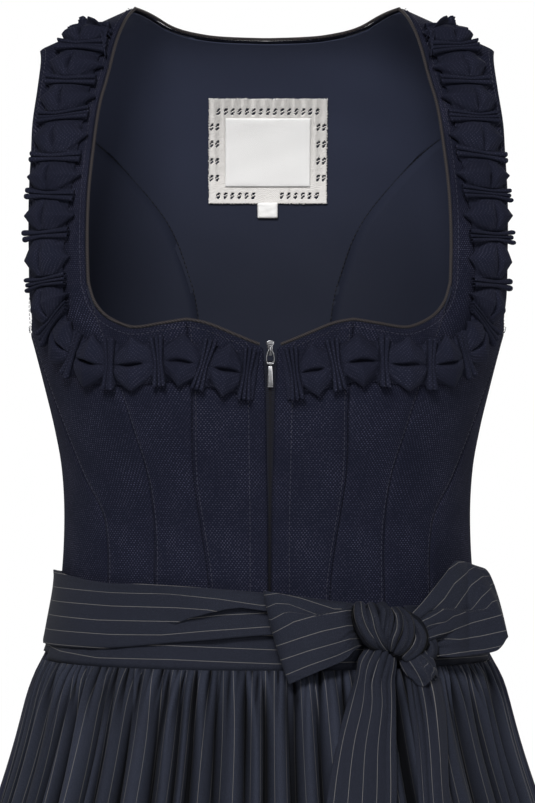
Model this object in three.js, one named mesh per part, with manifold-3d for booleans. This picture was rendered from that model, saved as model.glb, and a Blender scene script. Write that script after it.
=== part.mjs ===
// A dirndl: a sleeveless navy bodice of curved panels with a square neckline, a front zip and a pinched
// box-pleat trim, a gathered skirt, and a striped apron whose ties are wound round the waist and bowed.
// Millimetres, +Z up, the front faces -Y and +X is the viewer's right. The origin lies on the shoulder
// line, level with the top of the straps, where the wearer's shoulders carry the dress.
import * as THREE from "three";
import { mergeVertices } from "three/addons/utils/BufferGeometryUtils.js";
import Module from "manifold-3d";

const wasm = await Module();
wasm.setup();

// Driving dimensions
const WAIST_Z = -404; // waist seam at the sides, below the shoulder line
const FRONT_DIP = 5.5; // how much lower the waist seam lies at the centre front
const SKIRT_LENGTH = 630;
const APRON_SHORTER = 35; // the apron ends this far above the skirt's hem
const CLOTH = 1.6; // bodice, skirt and apron walls
const LINING = 1.2;
const SEAM_GAP = 0.3;
const LINING_GAP = 0.8;
const SECTION_POWER = 2.3; // roundness of the body's cross-section, 2 is an ellipse
const NECK_POINT_X = 86; // where the strap meets the neck on the shoulder line
const SHOULDER_TIP_X = 146;
const SHOULDER_DROP = 27; // slope of the shoulder from neck point to tip
const HEM_Z = WAIST_Z - SKIRT_LENGTH;
const APRON_HEM_Z = HEM_Z + APRON_SHORTER;
const APRON_SIDE_DEG = 76; // the apron and its band end this far round from the front

// The body's cross-sections from below the waist to the shoulder line
const BODY_ROWS = [
  { name: "below_waist", z: -420, halfWidth: 143, front: 100, back: 93 },
  { name: "waist", z: -404, halfWidth: 137, front: 96, back: 88 },
  { name: "belt", z: -366, halfWidth: 131, front: 92, back: 83 },
  { name: "narrowest", z: -328, halfWidth: 129, front: 94, back: 81 },
  { name: "ribs", z: -296, halfWidth: 130.5, front: 100, back: 84 },
  { name: "under_bust", z: -270, halfWidth: 135, front: 106, back: 88 },
  { name: "bust", z: -245, halfWidth: 141, front: 110, back: 92 },
  { name: "over_bust", z: -218, halfWidth: 148, front: 109, back: 97 },
  { name: "chest", z: -185, halfWidth: 157, front: 103, back: 100 },
  { name: "upper_chest", z: -145, halfWidth: 165, front: 93, back: 102 },
  { name: "collar_bone", z: -105, halfWidth: 169, front: 79, back: 99 },
  { name: "high_strap", z: -65, halfWidth: 168, front: 60, back: 86 },
  { name: "near_shoulder", z: -28, halfWidth: 163, front: 38, back: 62 },
  { name: "shoulder_roll", z: -8, halfWidth: 160, front: 20, back: 34 },
  { name: "shoulder_line", z: 0, halfWidth: 160, front: 0, back: 0 },
];
const TOP_LEVEL = BODY_ROWS.length - 1;
const BUST = { x: 70, z: -250, spreadX: 36, spreadZ: 42, rise: 8 };

// The skirt's cross-sections from the waist seam to the hem, measured in the valleys of its folds
const SKIRT_ROWS = [
  { name: "waist_seam", z: WAIST_Z, halfWidth: 137, front: 96, back: 88, fold: 0.4 },
  { name: "under_band", z: -415, halfWidth: 141, front: 101, back: 93, fold: 1.5 },
  { name: "gathers", z: -435, halfWidth: 147.5, front: 111, back: 103, fold: 5 },
  { name: "photo_edge", z: -480, halfWidth: 159.5, front: 127, back: 121, fold: 7 },
  { name: "hip", z: -560, halfWidth: 184, front: 153, back: 149, fold: 9 },
  { name: "thigh", z: -700, halfWidth: 222, front: 190, back: 190, fold: 12 },
  { name: "above_knee", z: -860, halfWidth: 257, front: 223, back: 225, fold: 15 },
  { name: "hem", z: HEM_Z, halfWidth: 288, front: 251, back: 254, fold: 17 },
];
const HIDDEN_FOLD = 1.5; // the skirt lies almost flat where the apron covers it
const APRON_FOLDS = 25;
const HIDDEN_FOLDS = 12;
const SKIRT_FOLDS = 22; // round the sides and back, outside the apron

// The inner face of the apron's waistband, over the bodice above the waist seam and the gathers below it
const BAND_ROWS = [
  { name: "bottom", z: -424, halfWidth: 148.8, front: 110.2, back: 102.2 },
  { name: "over_gathers", z: -412, halfWidth: 143.3, front: 103.5, back: 95.4 },
  { name: "waist_seam", z: -400, halfWidth: 139.8, front: 99, back: 91 },
  { name: "middle", z: -380, halfWidth: 136, front: 96.6, back: 87.6 },
  { name: "top", z: -356, halfWidth: 133.4, front: 95.6, back: 85.6 },
];
const BAND_BOTTOM = -416;
const BAND_TOP = -386;
const TIE_LIFT = CLOTH + 0.9; // the second wrap lies on the band and on the first wrap

// The second wrap's edges all round the waist, 0 degrees in front and the viewer's right positive
const TIE_EDGES = [
  { degrees: -360, top: -373, bottom: -399 },
  { degrees: -325, top: -381, bottom: -405 },
  { degrees: -300, top: -378, bottom: -408 },
  { degrees: -270, top: -370, bottom: -410 },
  { degrees: -225, top: -367, bottom: -411 },
  { degrees: -180, top: -367, bottom: -410 },
  { degrees: -135, top: -364, bottom: -410 },
  { degrees: -90, top: -360, bottom: -407 },
  { degrees: -75, top: -361, bottom: -407.5 },
  { degrees: -48, top: -366.7, bottom: -408.5 },
  { degrees: -30, top: -367.5, bottom: -406 },
  { degrees: -12, top: -370, bottom: -402 },
  { degrees: 0, top: -373, bottom: -399 },
  { degrees: 15, top: -378, bottom: -397 },
  { degrees: 30, top: -382, bottom: -398 },
];
const TIE_START_DEG = -325; // both ends of the second wrap lie under the knot
const TIE_END_DEG = 30;

// The bow's loops in stations from the knot to the folded end: their top and bottom points, seen from
// the front, and how far the inner and the outer layer stand off the waist
const LEFT_LOOP = [
  { topX: 60, topZ: -384, bottomX: 62, bottomZ: -405, inner: 3, outer: 8 },
  { topX: 48, topZ: -382.7, bottomX: 54, bottomZ: -406.5, inner: 2, outer: 13 },
  { topX: 39.7, topZ: -382.7, bottomX: 42.9, bottomZ: -416.6, inner: 1.5, outer: 16 },
  { topX: 25, topZ: -377, bottomX: 27.5, bottomZ: -423.7, inner: 1.5, outer: 16 },
  { topX: 6.4, topZ: -372.5, bottomX: 17, bottomZ: -428, inner: 2.5, outer: 12 },
  { topX: -4.8, topZ: -373.1, bottomX: 12.2, bottomZ: -429.4, inner: 6, outer: 6 },
];
const RIGHT_LOOP = [
  { topX: 86, topZ: -392, bottomX: 100, bottomZ: -413, inner: 3, outer: 9 },
  { topX: 92, topZ: -385, bottomX: 108, bottomZ: -417.5, inner: 2, outer: 14 },
  { topX: 101, topZ: -375, bottomX: 123, bottomZ: -418.5, inner: 1.5, outer: 17 },
  { topX: 112, topZ: -361, bottomX: 143, bottomZ: -411, inner: 2.5, outer: 13 },
  { topX: 119, topZ: -354.5, bottomX: 152, bottomZ: -404.5, inner: 7, outer: 7 },
];
const LOOP_REACH_X = 126; // past here a loop stands out straight from the side of the waist

// The two tails, hanging from the knot in front of the apron
const LEFT_TAIL = [
  { z: -412, left: 62, right: 80, lift: 5 },
  { z: -425, left: 54, right: 79, lift: 2 },
  { z: -443, left: 46.7, right: 79, lift: 1.5 },
  { z: -471, left: 37, right: 79, lift: 1.5 },
  { z: -504, left: 30, right: 79, lift: 1.5 },
  { z: -600, left: 25, right: 75, lift: 2 },
  { z: -700, left: 22, right: 72, lift: 2 },
  { z: -790, left: 20, right: 70, lift: 2 },
];
const RIGHT_TAIL = [
  { z: -412, left: 86, right: 98, lift: 5 },
  { z: -425, left: 85, right: 108, lift: 2 },
  { z: -443, left: 86, right: 109.5, lift: 1.5 },
  { z: -471, left: 89, right: 111, lift: 1.5 },
  { z: -504, left: 92.8, right: 112.6, lift: 1.5 },
  { z: -600, left: 97, right: 124, lift: 2 },
  { z: -700, left: 99, right: 138, lift: 2 },
  { z: -770, left: 100, right: 145, lift: 2 },
];
const TAIL_SLANT = 22; // how much lower a tail's outer corner hangs

// The knot: a rolled ridge of cloth that runs down to the viewer's right
const KNOT = [
  { x: 52, z: -384, radius: 5 },
  { x: 58, z: -387, radius: 13 },
  { x: 68, z: -393, radius: 17.5 },
  { x: 79, z: -400, radius: 18.5 },
  { x: 90, z: -407, radius: 17 },
  { x: 99, z: -413, radius: 13 },
  { x: 105, z: -417, radius: 6 },
];
const KNOT_STANDOFF = 1.9;
const KNOT_FLATTEN = 0.72; // the roll is flatter front to back than it is high

// The pinched trim: its middle line, beside the neckline from the zip to the shoulder seam
const TRIM_LINE = [
  { z: -233, x: 8.5 },
  { z: -229.5, x: 30 },
  { z: -224.5, x: 57 },
  { z: -226.5, x: 88 },
  { z: -223.5, x: 113 },
  { z: -210, x: 130 },
  { z: -190, x: 139.5 },
  { z: -160, x: 142.5 },
  { z: -130, x: 141.5 },
  { z: -105, x: 139 },
  { z: -80, x: 135.5 },
  { z: -55, x: 131 },
  { z: -33, x: 124 },
  { z: -15, x: 113 },
];
const TRIM_HALF_WIDTH = 17;
const TRIM_REPEATS = 13;
// One repeat along the strip: the height of its middle and of its edges, and how wide it spreads
const TRIM_REPEAT = [
  { share: 0, middle: 1.2, between: 1.4, edge: 1, spread: 0.88 },
  { share: 0.15, middle: 2.4, between: 6.6, edge: 3.4, spread: 0.97 },
  { share: 0.38, middle: 2.4, between: 6.6, edge: 3.4, spread: 0.97 },
  { share: 0.54, middle: 1.2, between: 1.4, edge: 1, spread: 0.88 },
  { share: 0.69, middle: 4, between: 5.6, edge: 6.2, spread: 1.05 },
  { share: 0.85, middle: 4, between: 5.6, edge: 6.2, spread: 1.05 },
];
const TRIM_CLOTH = 1.2;
const TRIM_LIFT = CLOTH + 0.8;

const PIPING_RADIUS = 1.2;
const LABEL = { halfWidth: 39, top: -57.6, bottom: -127, cloth: 1, clearance: 1.8 };
const LABEL_PANEL = { halfWidth: 28, top: -70, bottom: -115.5 };
const SIZE_TAG = { halfWidth: 6.5, top: -127.6, bottom: -136.5 };
const ZIP = { tapeCloth: 1, coilDepth: 1.6, coilLift: 0.6, coilTop: 0.97 };
const SLIDER = { halfWidth: 2.9, top: -213.5, bottom: -223, depth: 3.4, behindCloth: 1.6 };
const BRIDGE = { halfWidth: 0.9, height: 5, reach: 3.6, wall: 1.1 }; // the slider's eye that holds the pull
const PULL = { pivotZ: -219.5, halfWidth: 3.4, linkLength: 10, wire: 1.3 };
const PULL_TAB = { halfWidthTop: 1.6, halfWidthFoot: 2.2, foot: -243.2 };

const cloth = (color, roughness = 0.9) => new THREE.MeshStandardMaterial({ color, roughness, metalness: 0 });
const materials = {
  bodice: cloth(0x1a1c2b),
  ruche: cloth(0x1c1e2c),
  lining: cloth(0x262a3b, 0.75),
  skirt: cloth(0x1d2036),
  apron: cloth(0x2b303f, 0.8),
  piping: cloth(0x2a2628, 0.6),
  label: cloth(0xe4e4e2),
  zipTape: cloth(0x17181f),
  zipMetal: new THREE.MeshStandardMaterial({ color: 0x9a9ca2, roughness: 0.3, metalness: 1 }),
};

const dirndl = new THREE.Group();
function addPiece(name, geometry, material) {
  const piece = new THREE.Mesh(geometry, material);
  piece.name = name;
  dirndl.add(piece);
}

// Smooth reading of a table of rows at a level that may lie between two of them
function readRows(rows, level) {
  const top = rows.length - 1;
  const at = Math.min(Math.max(level, 0), top);
  const i = Math.min(Math.floor(at), top - 1);
  const [r0, r1, r2, r3] = [rows[Math.max(i - 1, 0)], rows[i], rows[i + 1], rows[Math.min(i + 2, top)]];
  const f = at - i;
  const read = {};
  for (const key of Object.keys(r1)) {
    if (typeof r1[key] !== "number") continue;
    const [a, b, c, d] = [r0[key], r1[key], r2[key], r3[key]];
    read[key] = b + 0.5 * f * (c - a + f * (2 * a - 5 * b + 4 * c - d + f * (3 * (b - c) + d - a)));
  }
  return read;
}

// The level at which a rising or falling function of the level reaches a height
function findLevel(heightAt, z, low, high) {
  const rising = heightAt(high) > heightAt(low);
  for (let step = 0; step < 40; step++) {
    const middle = (low + high) / 2;
    if (heightAt(middle) < z === rising) low = middle;
    else high = middle;
  }
  return (low + high) / 2;
}

const radians = (degrees) => (degrees * Math.PI) / 180;
const mix = (a, b, share) => a + (b - a) * share;
const smooth = (low, high, v) => THREE.MathUtils.smoothstep(v, low, high);
const rounded = (v) => Math.sign(v) * Math.abs(v) ** (2 / SECTION_POWER);
const waistDip = (angle) => FRONT_DIP * Math.max(0, Math.cos(angle)) ** 1.2;

function sectionPoint(row, angle) {
  const depth = Math.cos(angle) > 0 ? row.front : row.back;
  return new THREE.Vector3(row.halfWidth * rounded(Math.sin(angle)), -depth * rounded(Math.cos(angle)), row.z);
}

function shoulderDrop(x, rowZ) {
  const along = (Math.abs(x) - NECK_POINT_X) / (SHOULDER_TIP_X - NECK_POINT_X);
  return SHOULDER_DROP * Math.max(0, along) * smooth(-130, 0, rowZ);
}

// A point of the body's surface: angle round from the centre front, level up the table of rows
function bodySurface(angle, level) {
  const point = sectionPoint(readRows(BODY_ROWS, level), angle);
  if (Math.cos(angle) > 0) {
    const across = (Math.abs(point.x) - BUST.x) / BUST.spreadX;
    const down = (point.z - BUST.z) / BUST.spreadZ;
    point.y -= BUST.rise * Math.exp(-0.5 * (across ** 2 + down ** 2));
  }
  point.z -= shoulderDrop(point.x, point.z);
  return point;
}

function bodyTangents(angle, level) {
  const turn = 0.004;
  const climb = 0.02;
  const [low, high] = [Math.max(level - climb, 0), Math.min(level + climb, TOP_LEVEL)];
  const around = bodySurface(angle + turn, level).sub(bodySurface(angle - turn, level)).divideScalar(2 * turn);
  const up = bodySurface(angle, high).sub(bodySurface(angle, low)).divideScalar(high - low);
  return { around, up, normal: around.clone().cross(up).normalize() };
}

function bodyPoint({ angle, level }, lift) {
  return bodySurface(angle, level).addScaledVector(bodyTangents(angle, level).normal, lift);
}

// A spot on the body given by its height and either its distance from the middle or its angle
function spot({ z, x, degrees, behind = false }) {
  if (degrees !== undefined) {
    const angle = radians(degrees);
    return { angle, level: findLevel((l) => bodySurface(angle, l).z, z, 0, TOP_LEVEL) };
  }
  const angleAt = (level) => {
    const share = Math.min(Math.abs(x) / readRows(BODY_ROWS, level).halfWidth, 1);
    const turned = Math.asin(share ** (SECTION_POWER / 2)) * (Math.sign(x) || 1);
    return behind ? Math.PI - turned : turned;
  };
  const heightAt = (level) => {
    const rowZ = readRows(BODY_ROWS, level).z;
    return rowZ - shoulderDrop(x, rowZ);
  };
  const level = findLevel(heightAt, z, 0, TOP_LEVEL);
  return { angle: angleAt(level), level };
}

// An edge of a panel: a smooth line through spots, read by its share from 0 to 1
const LEVEL_SCALE = 0.25; // one level counts as much as a quarter radian
function edge(rows) {
  const spots = rows.map((row) => ("level" in row ? row : spot(row)));
  const line = new THREE.SplineCurve(spots.map((s) => new THREE.Vector2(s.angle, s.level * LEVEL_SCALE)));
  return (share) => {
    const at = line.getPointAt(Math.min(Math.max(share, 0), 1));
    return { angle: at.x, level: at.y / LEVEL_SCALE };
  };
}

// Several edges end to end, each taking as many of the grid's steps as its count says
function chain(parts) {
  const total = parts.reduce((sum, part) => sum + part.steps, 0);
  return (share) => {
    let at = share * total;
    for (const part of parts) {
      if (at <= part.steps + 1e-9 || part === parts.at(-1)) return part.edge(at / part.steps);
      at -= part.steps;
    }
  };
}

function waistEdge(from, to) {
  return (share) => {
    const angle = mix(from, to, share);
    return { angle, level: findLevel((l) => bodySurface(angle, l).z, WAIST_Z - waistDip(angle), 0, 6) };
  };
}

// A four-sided panel between its edges, inset so that neighbours stand a seam gap apart
function patch({ bottom, top, left, right }) {
  const blend = (p, q, key) => {
    const sides = mix(left(q)[key], right(q)[key], p);
    const bottomBow = bottom(p)[key] - mix(bottom(0)[key], bottom(1)[key], p);
    const topBow = top(p)[key] - mix(top(0)[key], top(1)[key], p);
    return sides + bottomBow * (1 - q) ** 2 + topBow * q ** 2;
  };
  const raw = (p, q) => ({ angle: blend(p, q, "angle"), level: blend(p, q, "level") });
  const span = (a, b) => bodySurface(a.angle, a.level).distanceTo(bodySurface(b.angle, b.level));
  return (p, q) => {
    const insetP = SEAM_GAP / 2 / Math.max(span(raw(0, q), raw(1, q)), 4);
    const insetQ = SEAM_GAP / 2 / Math.max(span(raw(p, 0), raw(p, 1)), 4);
    return raw(mix(insetP, 1 - insetP, p), mix(insetQ, 1 - insetQ, q));
  };
}

// A closed wall: an outer and an inner grid of points with a rim round them
function wall(columns, rows, pointAt) {
  const positions = [];
  for (const face of [1, 0])
    for (let j = 0; j <= rows; j++)
      for (let i = 0; i <= columns; i++) positions.push(...pointAt(i, j, face).toArray());
  const at = (face, i, j) => (1 - face) * (columns + 1) * (rows + 1) + j * (columns + 1) + i;
  const triangles = [];
  const quad = (a, b, c, d) => triangles.push(a, b, c, a, c, d);
  for (let j = 0; j < rows; j++)
    for (let i = 0; i < columns; i++) {
      quad(at(1, i, j), at(1, i + 1, j), at(1, i + 1, j + 1), at(1, i, j + 1));
      quad(at(0, i, j), at(0, i, j + 1), at(0, i + 1, j + 1), at(0, i + 1, j));
    }
  for (let i = 0; i < columns; i++) {
    quad(at(1, i, 0), at(0, i, 0), at(0, i + 1, 0), at(1, i + 1, 0));
    quad(at(1, i, rows), at(1, i + 1, rows), at(0, i + 1, rows), at(0, i, rows));
  }
  for (let j = 0; j < rows; j++) {
    quad(at(1, 0, j), at(1, 0, j + 1), at(0, 0, j + 1), at(0, 0, j));
    quad(at(1, columns, j), at(0, columns, j), at(0, columns, j + 1), at(1, columns, j + 1));
  }
  return facingOut(positions, triangles);
}

function facingOut(positions, triangles) {
  const corners = (k) => new THREE.Vector3().fromArray(positions, triangles[k] * 3);
  let volume = 0;
  for (let k = 0; k < triangles.length; k += 3) volume += corners(k).dot(corners(k + 1).cross(corners(k + 2)));
  if (volume < 0) triangles.reverse();
  const geometry = new THREE.BufferGeometry();
  geometry.setAttribute("position", new THREE.Float32BufferAttribute(positions, 3));
  geometry.setIndex(triangles);
  return geometry;
}

const mirrored = (piece) => (i, j, face) => piece(i, j, face).multiply(new THREE.Vector3(-1, 1, 1));
const SIDES = [
  { side: "right", place: (piece) => piece },
  { side: "left", place: mirrored },
];

function addPanel(name, { material, columns, rows, flat, lift, thickness, place = (piece) => piece }) {
  const pointAt = (i, j, face) => bodyPoint(flat(i / columns, j / rows), lift + face * thickness);
  addPiece(name, wall(columns, rows, place(pointAt)), material);
}

// Seams and open edges of the bodice, on the viewer's right, and mirrored for the left
const neckFront = edge([
  { z: -218.3, x: 4.4 },
  { z: -210.2, x: 24.8 },
  { z: -204, x: 40.3 },
  { z: -201.5, x: 52.7 },
]);
const neckSide = edge([
  { z: -201.5, x: 52.7 },
  { z: -204, x: 68.1 },
  { z: -206.4, x: 83.7 },
  { z: -204.6, x: 93 },
  { z: -198.3, x: 104.3 },
  { z: -189, x: 111.7 },
  { z: -176.5, x: 115.6 },
]);
const neckStrap = edge([
  { z: -176.5, x: 115.6 },
  { z: -157.8, x: 116.3 },
  { z: -126.4, x: 116 },
  { z: -94.7, x: 113.2 },
  { z: -62.5, x: 108.7 },
  { z: -43, x: 103.4 },
  { z: -15.9, x: 96 },
  { z: 0, x: NECK_POINT_X },
]);
const centreFront = edge([
  { z: WAIST_Z - FRONT_DIP, x: 0.8 },
  { z: -330, x: 1.1 },
  { z: -290, x: 1.9 },
  { z: -251, x: 2.8 },
  { z: -236, x: 3.4 },
  { z: -218.3, x: 4.4 },
]);
const frontSeam = edge([
  { ...waistEdge(radians(13.5), 0)(0) },
  { z: -369, x: 38.4 },
  { z: -300.6, x: 48 },
  { z: -249.8, x: 49.3 },
  { z: -201.5, x: 52.7 },
]);
const princessSeam = edge([
  { ...waistEdge(radians(29.5), 0)(0) },
  { z: -364, x: 72.7 },
  { z: -338.7, x: 72.5 },
  { z: -312.6, x: 74.6 },
  { z: -295.2, x: 77.7 },
  { z: -268.5, x: 85.8 },
  { z: -247.3, x: 92.2 },
  { z: -215, x: 103 },
  { z: -176.5, x: 115.6 },
]);
const sideFrontSeam = edge([
  { ...waistEdge(radians(47), 0)(0) },
  { z: -363, x: 102 },
  { z: -339, x: 102.5 },
  { z: -320.4, x: 106 },
  { z: -297, x: 117.5 },
  { z: -270, x: 128 },
  { z: -207, degrees: 83 },
]);
const armholeSide = edge([
  { z: -207, degrees: 83 },
  { z: -211, degrees: 91 },
  { z: -205, degrees: 100 },
]);
const armholeFront = edge([
  { z: -207, degrees: 83 },
  { z: -199, degrees: 77 },
  { z: -187, x: 151.5 },
  { z: -150, x: 152.5 },
  { z: -100, x: 151.5 },
  { z: -60, x: 148.5 },
  { z: -SHOULDER_DROP, x: SHOULDER_TIP_X },
]);
const armholeBack = edge([
  { z: -205, degrees: 100 },
  { z: -186, degrees: 108 },
  { z: -150, x: 142, behind: true },
  { z: -110, x: 139, behind: true },
  { z: -78, x: 139.5, behind: true },
]);
const armholeBackTop = edge([
  { z: -78, x: 139.5, behind: true },
  { z: -50, x: 142, behind: true },
  { z: -SHOULDER_DROP, x: SHOULDER_TIP_X, behind: true },
]);
const sideBackSeam = edge([
  { ...waistEdge(radians(98), 0)(0) },
  { z: -330, degrees: 97 },
  { z: -260, degrees: 98 },
  { z: -205, degrees: 100 },
]);
const backPrincess = edge([
  { ...waistEdge(radians(166), 0)(0) },
  { z: -330, x: 39, behind: true },
  { z: -260, x: 44, behind: true },
  { z: -199.7, x: 50.6, behind: true },
  { z: -157, x: 58.2, behind: true },
  { z: -126.3, x: 72.2, behind: true },
  { z: -100.3, x: 95, behind: true },
  { z: -84, x: 117, behind: true },
  { z: -78, x: 139.5, behind: true },
]);
const shoulderEdge = (behind) => (share) => {
  const x = mix(NECK_POINT_X, SHOULDER_TIP_X, share);
  const turned = Math.asin((x / BODY_ROWS[TOP_LEVEL].halfWidth) ** (SECTION_POWER / 2));
  return { angle: behind ? Math.PI - turned : turned, level: TOP_LEVEL };
};
const neckBackHalf = edge([
  { ...shoulderEdge(true)(0) },
  { z: -9.5, x: 65.8, behind: true },
  { z: -16.5, x: 40.2, behind: true },
  { z: -18.7, x: 0, behind: true },
]);

// Bodice panels. They all have the same rows, so that neighbours meet point for point along a seam.
const PANEL_ROWS = 8;
const STRAP_ROWS = 7;
const STRAP_COLUMNS = 4;
const YOKE_ROWS = 4;
const FRONT_COLUMNS = 3;
const PRINCESS_COLUMNS = 6;
const NECK_BACK_COLUMNS = 4;
const SHOULDER_COLUMNS = 3;

const turn = (e) => (share) => e(1 - share);
const centrePanel = patch({
  bottom: waistEdge(centreFront(0).angle, frontSeam(0).angle),
  top: neckFront,
  left: centreFront,
  right: frontSeam,
});
const princessPanel = patch({
  bottom: waistEdge(frontSeam(0).angle, princessSeam(0).angle),
  top: neckSide,
  left: frontSeam,
  right: princessSeam,
});
const sideFrontPanel = patch({
  bottom: waistEdge(princessSeam(0).angle, sideFrontSeam(0).angle),
  top: shoulderEdge(false),
  left: chain([
    { edge: princessSeam, steps: PANEL_ROWS },
    { edge: neckStrap, steps: STRAP_ROWS },
  ]),
  right: chain([
    { edge: sideFrontSeam, steps: PANEL_ROWS },
    { edge: armholeFront, steps: STRAP_ROWS },
  ]),
});
const sidePanel = patch({
  bottom: waistEdge(sideFrontSeam(0).angle, sideBackSeam(0).angle),
  top: armholeSide,
  left: sideFrontSeam,
  right: sideBackSeam,
});
const sideBackPanel = patch({
  bottom: waistEdge(sideBackSeam(0).angle, backPrincess(0).angle),
  top: armholeBack,
  left: sideBackSeam,
  right: backPrincess,
});
const backOuterEdge = chain([
  { edge: backPrincess, steps: PANEL_ROWS },
  { edge: armholeBackTop, steps: YOKE_ROWS },
]);
const acrossMiddle = (e) => (share) => ({ angle: 2 * Math.PI - e(share).angle, level: e(share).level });
const backTop = chain([
  { edge: turn(shoulderEdge(true)), steps: SHOULDER_COLUMNS },
  { edge: neckBackHalf, steps: NECK_BACK_COLUMNS },
  { edge: turn(acrossMiddle(neckBackHalf)), steps: NECK_BACK_COLUMNS },
  { edge: acrossMiddle(shoulderEdge(true)), steps: SHOULDER_COLUMNS },
]);
const BACK_COLUMNS = 2 * (SHOULDER_COLUMNS + NECK_BACK_COLUMNS);
const backPanel = patch({
  bottom: waistEdge(backPrincess(0).angle, 2 * Math.PI - backPrincess(0).angle),
  top: backTop,
  left: backOuterEdge,
  right: acrossMiddle(backOuterEdge),
});

const outside = { material: materials.bodice, rows: PANEL_ROWS, lift: 0, thickness: CLOTH };
const inside = { material: materials.lining, rows: PANEL_ROWS, lift: -LINING_GAP - LINING, thickness: LINING };
const SIDE_COLUMNS = 4;
for (const { side, place } of SIDES) {
  const outer = { ...outside, place };
  addPanel(`bodice_centre_front_${side}`, { ...outer, columns: FRONT_COLUMNS, flat: centrePanel });
  addPanel(`bodice_princess_${side}`, { ...outer, columns: PRINCESS_COLUMNS, flat: princessPanel });
  const strapRows = PANEL_ROWS + STRAP_ROWS;
  const strapPanel = { ...outer, columns: STRAP_COLUMNS, rows: strapRows, flat: sideFrontPanel };
  addPanel(`bodice_side_front_${side}`, strapPanel);
  addPanel(`bodice_side_${side}`, { ...outer, columns: SIDE_COLUMNS, flat: sidePanel });
  addPanel(`bodice_side_back_${side}`, { ...outer, columns: SIDE_COLUMNS, flat: sideBackPanel });
  addPanel(`lining_side_back_${side}`, { ...inside, place, columns: SIDE_COLUMNS, flat: sideBackPanel });
}
const backGrid = { columns: BACK_COLUMNS, rows: PANEL_ROWS + YOKE_ROWS, flat: backPanel };
addPanel("bodice_back", { ...outside, ...backGrid });
addPanel("lining_back", { ...inside, ...backGrid });

// Neckline piping: a round cord beside the bodice's edge, all round the neck
function besideEdge(edgeLine, share, out) {
  const here = edgeLine(share);
  const before = bodyPoint(edgeLine(Math.max(share - 0.01, 0)), CLOTH / 2);
  const after = bodyPoint(edgeLine(Math.min(share + 0.01, 1)), CLOTH / 2);
  const along = after.sub(before).normalize();
  const sideways = along.cross(bodyTangents(here.angle, here.level).normal).normalize();
  return bodyPoint(here, CLOTH / 2).addScaledVector(sideways, out);
}
const neckHalf = chain([
  { edge: neckFront, steps: 5 },
  { edge: neckSide, steps: 8 },
  { edge: neckStrap, steps: 13 },
  { edge: neckBackHalf, steps: 9 },
]);
const NECK_STEPS = 35;
const pipingHalf = [];
for (let i = 0; i < NECK_STEPS; i++) {
  const share = (i + 0.25) / NECK_STEPS;
  pipingHalf.push(besideEdge(neckHalf, share, -(PIPING_RADIUS + 0.5 + smooth(0.74, 0.84, share))));
}
const pipingLine = [...pipingHalf, ...pipingHalf.map((p) => new THREE.Vector3(-p.x, p.y, p.z)).reverse()];
const PIPING_SIDES = 5;
const pipingCorners = Array.from({ length: PIPING_SIDES }, (_, k) => {
  const turned = radians((360 * k) / PIPING_SIDES);
  return new THREE.Vector2(PIPING_RADIUS * Math.cos(turned), PIPING_RADIUS * Math.sin(turned));
});
const pipingRound = new THREE.Shape(pipingCorners);
addPiece(
  "neck_piping",
  new THREE.ExtrudeGeometry(pipingRound, { steps: 70, extrudePath: new THREE.CatmullRomCurve3(pipingLine) }),
  materials.piping,
);

// A spot a short way off across the body's surface, in a direction in space
function stepOff(from, direction, distance) {
  const { around, up } = bodyTangents(from.angle, from.level);
  const [aa, au, uu] = [around.dot(around), around.dot(up), up.dot(up)];
  const [ad, ud] = [around.dot(direction) * distance, up.dot(direction) * distance];
  const scale = aa * uu - au * au;
  return { angle: from.angle + (ad * uu - ud * au) / scale, level: from.level + (ud * aa - ad * au) / scale };
}

// Pinched trim: a strip whose puffs and pleats rise from the bodice, over a plain underside
const trimLine = edge(TRIM_LINE);
const trimColumns = TRIM_REPEATS * TRIM_REPEAT.length;
function trimPoint(i, j, face) {
  const row = TRIM_REPEAT[i % TRIM_REPEAT.length];
  const share = (Math.floor(i / TRIM_REPEAT.length) + row.share) / TRIM_REPEATS;
  const middle = trimLine(share);
  const [before, after] = [trimLine(share - 0.004), trimLine(share + 0.004)];
  const along = bodyPoint(after, 0).sub(bodyPoint(before, 0)).normalize();
  const across = bodyTangents(middle.angle, middle.level).normal.cross(along).normalize();
  const height = [row.edge, row.between, row.middle, row.between, row.edge][j];
  const to = stepOff(middle, across, ((j - 2) / 2) * TRIM_HALF_WIDTH * row.spread);
  return bodyPoint(to, TRIM_LIFT + face * (TRIM_CLOTH + height));
}
for (const { side, place } of SIDES) {
  addPiece(`trim_${side}`, wall(trimColumns, 4, place(trimPoint)), materials.ruche);
}

// Label inside the back: a plate of lace, a panel sewn on it and a size tag below
function addLabel(name, size, lift, columns, rows) {
  const pointAt = (i, j, face) => {
    const x = mix(-size.halfWidth, size.halfWidth, i / columns);
    const z = mix(size.bottom, size.top, j / rows);
    return bodyPoint(spot({ z, x, behind: true }), lift + face * LABEL.cloth);
  };
  addPiece(name, wall(columns, rows, pointAt), materials.label);
}
const onLining = -LINING_GAP - LINING - LABEL.cloth - LABEL.clearance;
addLabel("label_lace_frame", LABEL, onLining, 6, 5);
addLabel("label_panel", LABEL_PANEL, onLining - SEAM_GAP - LABEL.cloth, 5, 4);
addLabel("size_tag", SIZE_TAG, onLining, 2, 2);

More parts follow.
